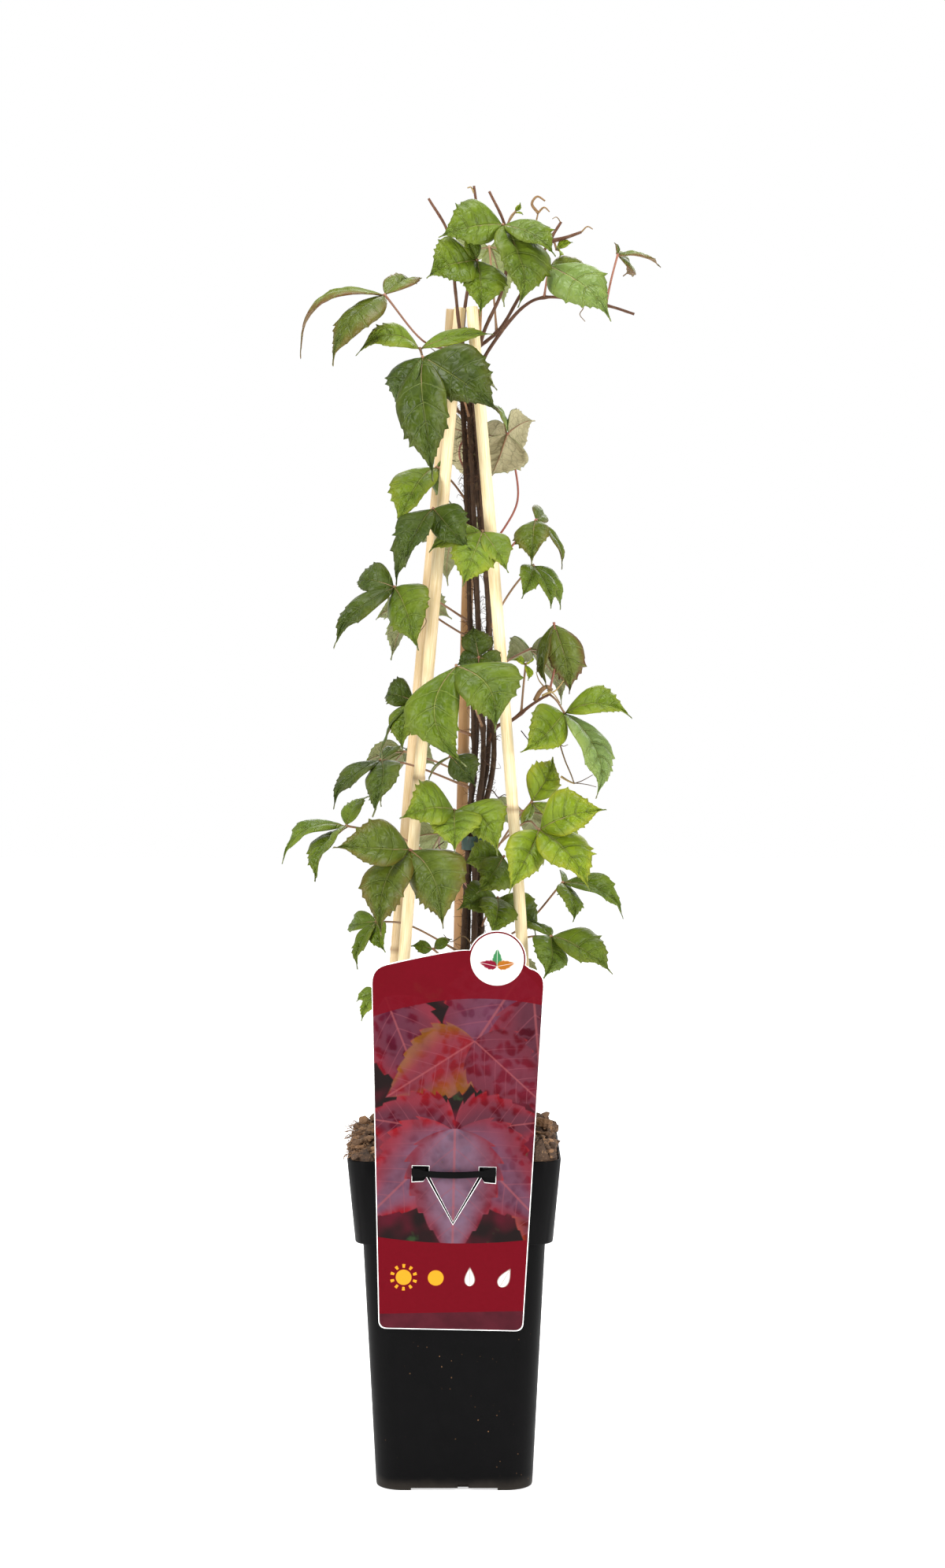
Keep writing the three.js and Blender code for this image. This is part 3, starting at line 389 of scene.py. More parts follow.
def mould_pot():
    step_top = collar_z + collar_step + wall
    rim_inner = rim_half - wall
    rings = [
        (base_half - 0.5 * base_round, base_corner, 0),
        (base_half - 0.15 * base_round, base_corner, 0.3 * base_round),
        (base_half, base_corner, base_round),
        (waist_half, base_corner - 1, collar_z),
        (collar_half - 0.3, base_corner - 2, collar_z + 0.15),
        (collar_half, base_corner - 2, collar_z + collar_step),
        (rim_half, rim_corner, rim_z - rim_round),
        (rim_half - 0.3 * rim_round, rim_corner, rim_z - 0.3 * rim_round),
        (rim_half - rim_round, rim_corner - rim_round, rim_z),
        (rim_inner + rim_round, rim_corner - wall, rim_z),
        (rim_inner, rim_corner - wall, rim_z - rim_round),
        (collar_front(step_top) - wall, base_corner - 2 - wall, step_top),
        (waist_half - wall, base_corner - 1 - wall, step_top - collar_step),
        (base_half - wall, base_corner - wall, floor_z),
    ]
    pot = raise_walls("pot_shell", rings)
    across_x = (foot_gap, 2 * foot_gap_depth, 2 * foot_height)
    across_y = (2 * foot_gap_depth, foot_gap, 2 * foot_height)
    for x, y, size in ((0, -1, across_x), (1, 0, across_y), (0, 1, across_x), (-1, 0, across_y)):
        work_in(pot, add_block(size, (x * base_half, y * base_half, 0)), "DIFFERENCE")
    notch = add_block((notch_width, 4 * wall, 2 * notch_height), (notch_x, -base_half, 0))
    work_in(pot, notch, "DIFFERENCE")
    for quarter in range(4):
        angle = math.radians(45 + 90 * quarter)
        place = Vector((math.cos(angle) * drain_place, math.sin(angle) * drain_place, 0)) * MM
        bpy.ops.mesh.primitive_cylinder_add(
            vertices=drain_sides, radius=drain_radius * MM, depth=4 * floor_z * MM, location=place)
        bpy.ops.object.transform_apply()
        work_in(pot, bpy.context.object, "DIFFERENCE")
    return pot


def mould_strap(pot):
    """Joins the strap to the collar: a bar with tall ends that bows forward and down, on two posts."""
    front = collar_front(strap_z)
    back = label_gap + label_thickness + 1.5 * clearance
    bar_y = -front - back - strap_thickness / 2
    bar = add_block((strap_width, strap_thickness, strap_height), (0, bar_y, strap_z))
    take_up(bar)
    bpy.ops.object.mode_set(mode="EDIT")
    bpy.ops.mesh.select_all(action="SELECT")
    bpy.ops.mesh.subdivide(number_cuts=strap_cuts)
    bpy.ops.object.mode_set(mode="OBJECT")
    for vertex in bar.data.vertices:
        share = vertex.co.x / (strap_width / 2 * MM)
        forward = (bar_y * MM - vertex.co.y) / (strap_thickness * MM) + 0.5
        bow = 1 - share * share
        vertex.co.y -= strap_bulge * MM * bow * forward
        tall = 1.0 if abs(share) > strap_ear else strap_slim
        vertex.co.z = strap_z * MM + (vertex.co.z - strap_z * MM) * tall - strap_sag * MM * bow
    change_shape(bar, "BEVEL", width=strap_round * MM, segments=3, limit_method="ANGLE",
                 angle_limit=math.radians(50))
    post_width = post_outer - post_inner
    post_depth = back + wall / 2 + strap_thickness / 2
    for hand in (-1, 1):
        place = (hand * (post_inner + post_outer) / 2, -front + wall / 2 - post_depth / 2, strap_z)
        work_in(bar, add_block((post_width, post_depth, strap_height - clearance), place), "UNION")
    work_in(pot, bar, "UNION")


pot = mould_pot()
mould_strap(pot)
smooth_faces(pot, 35)
pot.data.materials.clear()
pot.data.materials.append(black_plastic())
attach(pot, "root")
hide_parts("pot")


# Canes
# Four bamboo canes, pushed into the soil near the pot's walls and leaning together. Each is a pale stem
# with three raised knuckles, sawn off square, its skin streaked along the grain.
cane_radius = 3.3
cane_sides = 20
cane_steps = 60
cane_foot_z = 80
cane_rows = 147
row_rise = 4
knuckle_rows = (-3, -1.4, -0.5, 0.4, 1.2, 2.5)
knuckle_swell = 0.11
knuckle_groove = 0.05
groove_rise = 2.5
canes = {
    "front_left": {
        "path": [(-40, -34, 80), (-36, -31, 190), (-28, -25, 305), (-16.5, -17, 441), (-0.8, -4.4, 622),
                 (3.2, -1, 668)],
        "knuckles": [262, 402, 548], "tan": 0.12,
    },
    "front_right": {
        "path": [(41, -34, 80), (42.5, -35, 200), (38, -30, 314), (24.7, -18, 491), (13.8, -10.5, 622),
                 (10, -8, 668)],
        "knuckles": [228, 385, 530], "tan": 0.0,
    },
    # The back-left cane's deeper tan is partly its own colour and partly painted shade, for the shadow it
    # stands in behind the front-left cane
    "back_left": {
        "path": [(-42, 34, 80), (-41, 31, 190), (-33, 26, 310), (-24, 20.5, 417), (-5.2, 10.5, 615),
                 (-1.4, 8, 668)],
        "knuckles": [300, 445, 575], "tan": 0.45,
    },
    "back_right": {
        "path": [(-2, 38, 80), (0.5, 34, 190), (2.6, 29, 302), (7, 18, 491), (11.2, 9, 622),
                 (12.6, 6.5, 668)],
        "knuckles": [250, 415, 560], "tan": 1.0,
    },
}


def smooth_line(points, steps):
    """A smooth line through the points, with so many steps between each and the next."""
    points = [Vector(point) for point in points]
    ends = [2 * points[0] - points[1]] + points + [2 * points[-1] - points[-2]]
    line = []
    for i in range(1, len(ends) - 2):
        before, here, after, beyond = ends[i - 1:i + 3]
        gap_before = (here - before).length ** 0.5
        gap = (after - here).length ** 0.5
        gap_beyond = (beyond - after).length ** 0.5
        forward = (after - here) / gap
        leave = (here - before) / gap_before - (after - before) / (gap_before + gap) + forward
        arrive = forward - (beyond - here) / (gap + gap_beyond) + (beyond - after) / gap_beyond
        leave = leave * gap
        arrive = arrive * gap
        square = 3 * (after - here) - 2 * leave - arrive
        cube = 2 * (here - after) + leave + arrive
        for k in range(steps):
            share = k / steps
            line.append(here + leave * share + square * share ** 2 + cube * share ** 3)
    return line + [points[-1]]


def point_at_height(line, z):
    """The first point of a line at a height."""
    for here, after in zip(line, line[1:]):
        if here.z <= z <= after.z:
            return here.lerp(after, (z - here.z) / (after.z - here.z))
    here, after = line[-2:]
    return here.lerp(after, (z - here.z) / (after.z - here.z))


class Growth:
    """Points and faces gathered into one mesh, with a tone for every point and a map for every corner."""

    def __init__(self):
        self.points = []
        self.tones = []
        self.faces = []
        self.maps = []

    def point(self, place, tone=(0, 0, 0, 1)):
        self.points.append(place * MM)
        self.tones.extend(tone)
        return len(self.points) - 1

    def face(self, corners, maps):
        self.faces.append(corners)
        for place in maps:
            self.maps.extend(place)

    def tube(self, line, radii, sides, tone=(0, 0, 0, 1)):
        """A round skin along a line without twist, closed at both ends."""
        side = Vector((1, 0, 0)) if abs((line[1] - line[0]).normalized().x) < 0.9 else Vector((0, 1, 0))
        rings = []
        runs = [0.0]
        for i, here in enumerate(line):
            tangent = (line[min(i + 1, len(line) - 1)] - line[max(i - 1, 0)]).normalized()
            side = (side - tangent * side.dot(tangent)).normalized()
            across = tangent.cross(side)
            if i:
                runs.append(runs[-1] + (here - line[i - 1]).length)
            ring = []
            for k in range(sides):
                angle = 2 * math.pi * k / sides
                spoke = side * math.cos(angle) + across * math.sin(angle)
                ring.append(self.point(here + spoke * radii[i], tone))
            rings.append(ring)
        for i in range(len(rings) - 1):
            for k in range(sides):
                after = (k + 1) % sides
                corners = (rings[i][k], rings[i][after], rings[i + 1][after], rings[i + 1][k])
                left, right = k / sides, (k + 1) / sides
                maps = ((left, runs[i]), (right, runs[i]), (right, runs[i + 1]), (left, runs[i + 1]))
                self.face(corners, maps)
        self.face(tuple(reversed(rings[0])), [(0.5, runs[0])] * sides)
        self.face(tuple(rings[-1]), [(0.5, runs[-1])] * sides)

    def piece(self, name, *materials):
        mesh = bpy.data.meshes.new(name)
        mesh.from_pydata(self.points, [], self.faces)
        mesh.uv_layers.new(name="own_map").data.foreach_set("uv", self.maps)
        mesh.color_attributes.new("tone", "FLOAT_COLOR", "POINT").data.foreach_set("color", self.tones)
        mesh.polygons.foreach_set("use_smooth", [True] * len(self.faces))
        for material in materials:
            mesh.materials.append(material)
        mesh.update()
        return add_object(name, mesh)


def cane_skin():
    """Dry bamboo: cream to straw, streaked along the grain, with tan stains and a ring at each knuckle."""
    paint = Paint("cane_skin")
    own = paint.own_map()
    place = paint.place()
    given = paint.tone()
    tan = paint.part(given, "X")
    ring = paint.part(given, "Y")
    grain = paint.cloud(paint.stretch(own, (46, 0.05, 1)), 1, 3)
    fibre = paint.cloud(paint.stretch(own, (120, 0.12, 1)), 1, 2)
    stains = paint.step(paint.cloud(place, 32, 3), 0.52, 0.72)
    pale = paint.mix(paint.step(grain, 0.3, 0.75), (0.90, 0.78, 0.52), (0.70, 0.50, 0.22))
    # Each cane's tan tone; on the back-left cane part of it is painted shade
    straw = paint.mix(tan, pale, paint.mix(grain, (0.42, 0.23, 0.085), (0.27, 0.13, 0.045)))
    stained = paint.mix(stains * 0.35, straw, (0.42, 0.26, 0.10))
    color = paint.mix(ring * 0.75, stained, (0.24, 0.14, 0.06))
    return paint.finish(color, 0.36 + fibre * 0.22, fibre + grain, 0.0002, 0.5)


bamboo = cane_skin()
for name, cane in canes.items():
    line = smooth_line(cane["path"], cane_steps)
    heights = [cane_foot_z + row_rise * i for i in range(cane_rows)]
    for knuckle in cane["knuckles"]:
        heights += [knuckle + rise for rise in knuckle_rows]
    heights = sorted(set(heights + [cane["path"][-1][2]]))
    radii = []
    for z in heights:
        swell = sum(math.exp(-((z - knuckle) / 1.5) ** 2) for knuckle in cane["knuckles"])
        groove = sum(math.exp(-((z - knuckle - groove_rise) / 0.8) ** 2) for knuckle in cane["knuckles"])
        waver = 0.02 * math.sin(z / 37)
        radii.append(cane_radius * (1 + knuckle_swell * swell - knuckle_groove * groove + waver))
    growth = Growth()
    growth.tube([point_at_height(line, z) for z in heights], radii, cane_sides, (cane["tan"], 0, 0, 1))
    for index, place in enumerate(growth.points):
        near = min(abs(place.z / MM - knuckle) for knuckle in cane["knuckles"])
        growth.tones[4 * index + 1] = max(0.0, 1 - near / 3)
    piece = growth.piece(f"bamboo_{name}", bamboo)
    smooth_faces(piece, 50)
    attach(piece, "root")
    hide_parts(f"cane_{name}")


# Soil
# A damp mix of peat, coir fibre and bark, poured into the pot and heaped a little. Its top is a crust of
# crumbs, with chips of bark and fibres pressed into it, some of which hang over the rim.
soil_edge_z = 188
soil_heap = 8
bank_place = 49
bank_width = 8
left_bank = 6.5
right_bank = 11
crust_rings = 28
crust_spokes = 144
crumb_count = 760
fibre_count = 430
rim_fibre_count = 170


def soil_height(x, y):
    reach = min(1, math.hypot(x, y) / rim_half)
    heap = soil_heap * (1 - reach * reach) * (0.75 - 0.004 * x)
    lumps = 1.1 * math.sin(x * 0.31 + 1.7) * math.cos(y * 0.27) + 0.8 * math.sin(x * 0.13 - y * 0.44)
    return soil_edge_z + heap + lumps


def crust(x, y):
    """The soil's top with its crumbs, banked up against the walls at the left and right."""
    coarse = noise.noise(Vector((x * 0.16, y * 0.16, 3.0)))
    fine = noise.noise(Vector((x * 0.55, y * 0.55, 9.0)))
    left = left_bank * math.exp(-((x + bank_place) / bank_width) ** 2)
    right = right_bank * math.exp(-((x - bank_place) / bank_width) ** 2)
    return soil_height(x, y) + (left + right) * (0.8 + coarse) + 2.2 * coarse + 1.3 * fine


def square_ring(half, corner, z):
    """Points round a square with round corners, spaced evenly by angle from its middle."""
    ring = []
    for k in range(crust_spokes):
        angle = 2 * math.pi * k / crust_spokes
        way = Vector((math.cos(angle), math.sin(angle), 0))
        low, high = 0.0, 2.0 * half
        for _ in range(24):
            middle = (low + high) / 2
            beyond_x = max(0.0, abs(way.x * middle) - (half - corner))
            beyond_y = max(0.0, abs(way.y * middle) - (half - corner))
            if math.hypot(beyond_x, beyond_y) < corner:
                low = middle
            else:
                high = middle
        ring.append(Vector((way.x * low, way.y * low, z)))
    return ring


def peat():
    """Damp peat: dark brown crumbs and reddish chips between lighter fibres."""
    paint = Paint("peat")
    place = paint.place()
    crumbs = paint.cells(place, 520)
    patches = paint.cloud(place, 130, 5, 0.7)
    threads = paint.step(paint.cloud(paint.stretch(place, (900, 240, 500)), 1, 3), 0.6, 0.72)
    tone = paint.part(paint.tone(), "X")
    dark = paint.mix(patches, (0.018, 0.010, 0.006), (0.11, 0.058, 0.030))
    brown = paint.mix(tone, dark, (0.30, 0.16, 0.075))
    color = paint.mix(threads * 0.5, brown, (0.34, 0.20, 0.10))
    return paint.finish(color, 0.82 + patches * 0.15, crumbs + patches * 0.8, 0.0012, 0.9)


damp_peat = peat()


def heap_soil():
    inset = wall + clearance
    step_top = collar_z + collar_step + wall + clearance
    growth = Growth()
    rings = [
        square_ring(base_half - inset, base_corner - inset, floor_z + clearance),
        square_ring(waist_half - inset, base_corner - 1 - inset, step_top),
        square_ring(collar_front(step_top + 1) - inset, base_corner - 2 - inset, step_top + 1),
    ]
    edge = square_ring(collar_front(soil_edge_z) - inset, rim_corner - inset, soil_edge_z)
    for i in range(crust_rings):
        share = 1 - i / crust_rings
        rings.append([Vector((p.x * share, p.y * share, crust(p.x * share, p.y * share))) for p in edge])
    marks = [[growth.point(p) for p in ring] for ring in rings]
    for lower, upper in zip(marks, marks[1:]):
        for k in range(crust_spokes):
            after = (k + 1) % crust_spokes
            growth.face((lower[k], lower[after], upper[after], upper[k]), [(0, 0)] * 4)
    foot = growth.point(Vector((0, 0, floor_z + clearance)))
    crown = growth.point(Vector((0, 0, crust(0, 0))))
    for k in range(crust_spokes):
        after = (k + 1) % crust_spokes
        growth.face((foot, marks[0][after], marks[0][k]), [(0, 0)] * 3)
        growth.face((crown, marks[-1][k], marks[-1][after]), [(0, 0)] * 3)
    return growth.piece("soil_body", damp_peat)


def scatter_crumbs():
    """Crumbs of peat and chips of bark on the crust: lumps of few faces, each of its own size and turn."""
    draw = random.Random(41)
    bpy.ops.object.select_all(action="DESELECT")
    bpy.ops.mesh.primitive_ico_sphere_add(subdivisions=2, radius=1)
    lump = bpy.context.object
    growth = Growth()
    half = collar_front(soil_edge_z) - wall - 3
    for number in range(crumb_count):
        x = draw.uniform(-half, half)
        y = draw.uniform(-half, half)
        if draw.random() < 0.5:
            x = math.copysign(half - draw.random() ** 2 * 16, x)
        size = draw.uniform(0.7, 2.6) if number % 9 else draw.uniform(2.5, 4.2)
        flat = draw.uniform(0.35, 1.0)
        turn = Matrix.Rotation(draw.uniform(0, 6.3), 4, "Z")
        turn = turn @ Matrix.Rotation(draw.uniform(-0.6, 0.6), 4, "X")
        tone = (draw.random() ** 2, 0, 0, 1)
        seed = draw.uniform(0, 90)
        middle = Vector((x, y, crust(x, y) + size * 0.25))
        start = len(growth.points)
        for vertex in lump.data.vertices:
            rough = 1 + 0.4 * noise.noise(vertex.co * 1.7 + Vector((seed, 0, 0)))
            shape = Vector((vertex.co.x * 1.5, vertex.co.y, vertex.co.z * flat)) * size * rough
            growth.point(middle + turn @ shape, tone)
        for polygon in lump.data.polygons:
            growth.face(tuple(start + i for i in polygon.vertices), [(0, 0)] * 3)
    bpy.data.objects.remove(lump)
    return growth.piece("soil_crumbs", damp_peat)


def scatter_fibres():
    """Coir fibres and thin roots: lying on the crust, and hanging over the rim at the left."""
    draw = random.Random(7)
    growth = Growth()
    half = collar_front(soil_edge_z) - wall - 1
    for number in range(fibre_count):
        over = number < rim_fibre_count
        if over:
            x = -half + draw.uniform(-3.5, 9)
            y = draw.uniform(-52, 40)
            z = rim_z + draw.uniform(-1, 7)
        else:
            x = draw.uniform(-half, half)
            y = draw.uniform(-half, half)
            z = crust(x, y) + draw.uniform(0, 1.2)
        heading = draw.uniform(0, 2 * math.pi)
        length = draw.uniform(4, 13)
        points = []
        for i in range(5):
            share = i / 4 - 0.5
            heading += draw.uniform(-0.5, 0.5)
            step = Vector((math.cos(heading), math.sin(heading), 0)) * length * share
            arch = draw.uniform(-0.5, 1.0) + (1.5 * (1 - 4 * share * share) if over else 0.8)
            points.append(Vector((x, y, z + arch)) + step)
        radius = draw.uniform(0.1, 0.3)
        line = smooth_line(points, 2)
        radii = [radius * (1 - 0.5 * i / len(line)) for i in range(len(line))]
        growth.tube(line, radii, 4, (draw.uniform(0.1, 1), 0, 0, 1))
    return growth.piece("soil_fibres", damp_peat)


for piece in (heap_soil(), scatter_crumbs(), scatter_fibres()):
    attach(piece, "root")
    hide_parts("soil")


# Ties
# A loop of thin green plastic holds the four canes together near their tops, and a wider band of the
# same soft plastic gathers the five stems a little above the label.
tie_z = 622
tie_height = 2.5
tie_wall = 0.9
tie_steps = 96
band_z = 364
band_height = 8
band_inner = 6.1
band_wall = 0.9
band_round = 0.25
band_sides = 48
band_middle = (11, 2)


def soft_plastic():
    """Soft green plastic, a little dusty where it was handled."""
    paint = Paint("soft_green_plastic")
    place = paint.place()
    wear = paint.cloud(place, 260, 4)
    color = paint.mix(wear, (0.006, 0.024, 0.019), (0.020, 0.060, 0.046))
    return paint.finish(color, 0.38 + wear * 0.25, wear, 0.0002, 0.4)


def cut_sheet(name, outlines, depth):
    """A flat sheet in its own plane: one outline, with any others as holes in it, made a mesh."""
    sketch = bpy.data.curves.new(name, "CURVE")
    sketch.dimensions = "2D"
    sketch.fill_mode = "BOTH"
    sketch.extrude = depth / 2 * MM
    for outline in outlines:
        spline = sketch.splines.new("POLY")
        spline.points.add(len(outline) - 1)
        for point, (x, y) in zip(spline.points, outline):
            point.co = (x * MM, y * MM, 0, 1)
        spline.use_cyclic_u = True
    take_up(add_object(name, sketch))
    bpy.ops.object.convert(target="MESH")
    piece = bpy.context.object
    bpy.ops.object.mode_set(mode="EDIT")
    bpy.ops.mesh.select_all(action="SELECT")
    bpy.ops.mesh.remove_doubles(threshold=0.001 * MM)
    bpy.ops.mesh.normals_make_consistent(inside=False)
    bpy.ops.object.mode_set(mode="OBJECT")
    return piece


def tight_outline(centres, radius):
    """The outline of a cord pulled tight round equal circles."""
    outline = []
    for i in range(tie_steps):
        angle = 2 * math.pi * i / tie_steps
        way = Vector((math.cos(angle), math.sin(angle)))
        furthest = max(centres, key=lambda centre: centre.dot(way))
        outline.append(furthest + way * radius)
    return outline


green_plastic = soft_plastic()
cane_circles = []
for cane in canes.values():
    cane_circles.append(point_at_height(smooth_line(cane["path"], cane_steps), tie_z).to_2d())
tie_outlines = [
    tight_outline(cane_circles, cane_radius + clearance + tie_wall),
    tight_outline(cane_circles, cane_radius + clearance),
]
upper_tie = cut_sheet("tie_loop", tie_outlines, tie_height)
upper_tie.location = (0, 0, tie_z * MM)
bpy.ops.object.transform_apply()
upper_tie.data.materials.append(green_plastic)
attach(upper_tie, "root")
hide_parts("tie_upper")


def wrap_band():
    bpy.ops.object.select_all(action="DESELECT")
    place = Vector((*band_middle, band_z)) * MM
    bpy.ops.mesh.primitive_cylinder_add(
        vertices=band_sides, radius=band_inner * MM, depth=band_height * MM, end_fill_type="NOTHING",
        location=place)
    bpy.ops.object.transform_apply()
    band = bpy.context.object
    change_shape(band, "SOLIDIFY", thickness=band_wall * MM, offset=1)
    change_shape(band, "BEVEL", width=band_round * MM, segments=2)
    band.name = "tie_band"
    return band


lower_tie = wrap_band()
smooth_faces(lower_tie, 40)
lower_tie.data.materials.append(green_plastic)
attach(lower_tie, "root")
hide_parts("tie_lower")


# Label
# A tall card die-cut from white plastic sheet and printed in crimson, with a round bump on its crown. A
# V-shaped tongue cut in it hooks behind the pot's strap, whose two posts pass through its windows.
label_foot = Vector((-1.87, 0, 93.7))
label_lean = -1.2
label_bottom_half = 40.5
label_top_half = 48
label_side = 206
label_crown = 218.5
bump_x = 21.4
bump_y = 212.5
bump_radius = 16.2
print_thickness = 0.08
print_margin = 0.5
slit_margin = 0.3
slit_top = 94.3
slit_shoulder = 88.7
slit_foot = 62.4
window_inner = 14
window_outer = 23.3

# The print is measured in the sheet's own map, one unit of which is this many millimetres
map_unit = 100
sun_place = (-0.27, 0.30)
disc_place = (-0.09, 0.30)
disc_radius = 0.042
badge_radius = 0.146
sprig_place = (0.214, 2.085)


def bend(start, control, end, steps=6):
    """Points of a simple curve from a start, drawn toward one control point."""
    points = []
    for i in range(1, steps + 1):
        t = i / steps
        x = (1 - t) ** 2 * start[0] + 2 * t * (1 - t) * control[0] + t * t * end[0]
        y = (1 - t) ** 2 * start[1] + 2 * t * (1 - t) * control[1] + t * t * end[1]
        points.append((x, y))
    return points


def card_outline(inset):
    """Points round the card, drawn in by an inset."""
    corner = 4.5
    shoulder = 8
    low = label_bottom_half - inset
    high = label_top_half - inset
    side = label_side - inset
    points = [(-low + corner, inset), (low - corner, inset)]
    points += bend(points[-1], (low, inset), (low + 0.2, inset + corner))
    points.append((high - 0.3, side - shoulder))
    points += bend(points[-1], (high, side), (high - shoulder, side + 2))
    first = math.atan2(label_side + 3.5 - bump_y, 15)
    last = math.pi - 0.3
    for i in range(25):
        angle = first + (last - first) * i / 24
        reach = bump_radius - inset
        points.append((bump_x + math.cos(angle) * reach, bump_y + math.sin(angle) * reach))
    points += bend(points[-1], (0, label_crown - inset), (-high + shoulder, side + 2.5), 10)
    points += bend(points[-1], (-high, side + 0.5), (-high + 0.2, side - shoulder))
    points.append((-low - 0.2, inset + corner))
    points += bend(points[-1], (-low, inset), (-low + corner, inset))
    return points[:-1]


def slit_outline(margin):
    """The windows for the posts and the slit round the tongue, widened by a margin."""
    top = slit_top + margin
    outer = window_outer + margin
    inner = window_inner - margin
    return [
        (-outer, top), (-inner, top), (-inner, slit_shoulder), (0, slit_foot + margin),
        (inner, slit_shoulder), (inner, top), (outer, top), (outer, 85.1 - margin), (17, 85.6 - margin),
        (15.2 + margin, 88.2 - margin), (0, 61 - 1.6 * margin), (-15.2 - margin, 88.2 - margin),
        (-17, 85.6 - margin), (-outer, 85.1 - margin),
    ]


def label_place(lift):
    """Where a sheet hangs on the collar's front, its middle lifted off the card's back."""
    up = Vector((0, -collar_slope, 1)).normalized()
    out = Vector((0, -1, -collar_slope)).normalized()
    right = Vector((1, 0, 0))
    foot = Vector((label_foot.x, -collar_front(label_foot.z), label_foot.z)) + out * (label_gap + lift)
    basis = Matrix((right, up, out)).transposed().to_4x4()
    return Matrix.Translation(foot * MM) @ basis @ Matrix.Rotation(math.radians(label_lean), 4, "Z")


def hang(piece, lift):
    take_up(piece)
    piece.matrix_world = label_place(lift)
    bpy.ops.object.transform_apply()


def white_card():
    paint = Paint("white_card")
    grain = paint.cloud(paint.place(), 700, 2)
    color = paint.mix(grain, (0.78, 0.78, 0.76), (0.86, 0.86, 0.84))
    return paint.finish(color, 0.4 + grain * 0.1, grain, 0.00005, 0.3)


def printed_leaf(paint, x, y, foot, degrees, length, width, teeth=8):
    """One leaf of the print, measured in the sheet's own map: its mask, side veins, midrib and spread."""
    turn = math.radians(degrees)
    right = x - foot[0]
    rise = y - foot[1]
    along = (right * math.cos(turn) + rise * math.sin(turn)) / length
    across = (rise * math.cos(turn) - right * math.sin(turn)) / length
    off = abs(across)
    plain = (along ** 0.55) * ((1 - along) ** 1.25) * (1.75 * width)
    reach = plain * ((along * teeth).fraction() * 0.14 + 0.93)
    mask = paint.step(reach - off, 0.0, 0.012 / length)
    curved = (along - off * 0.75 - off * off * 0.8) * 7
    side_veins = (1 - paint.step(curved.swing(0.5), 0.01, 0.07)) * (1 - paint.step(off, 0.05, 0.4))
    midrib = 1 - paint.step(off, 0.002, 0.014)
    return mask, side_veins, midrib, off / (plain + 0.01)


def distance(right, rise):
    return (right * right + rise * rise) ** 0.5


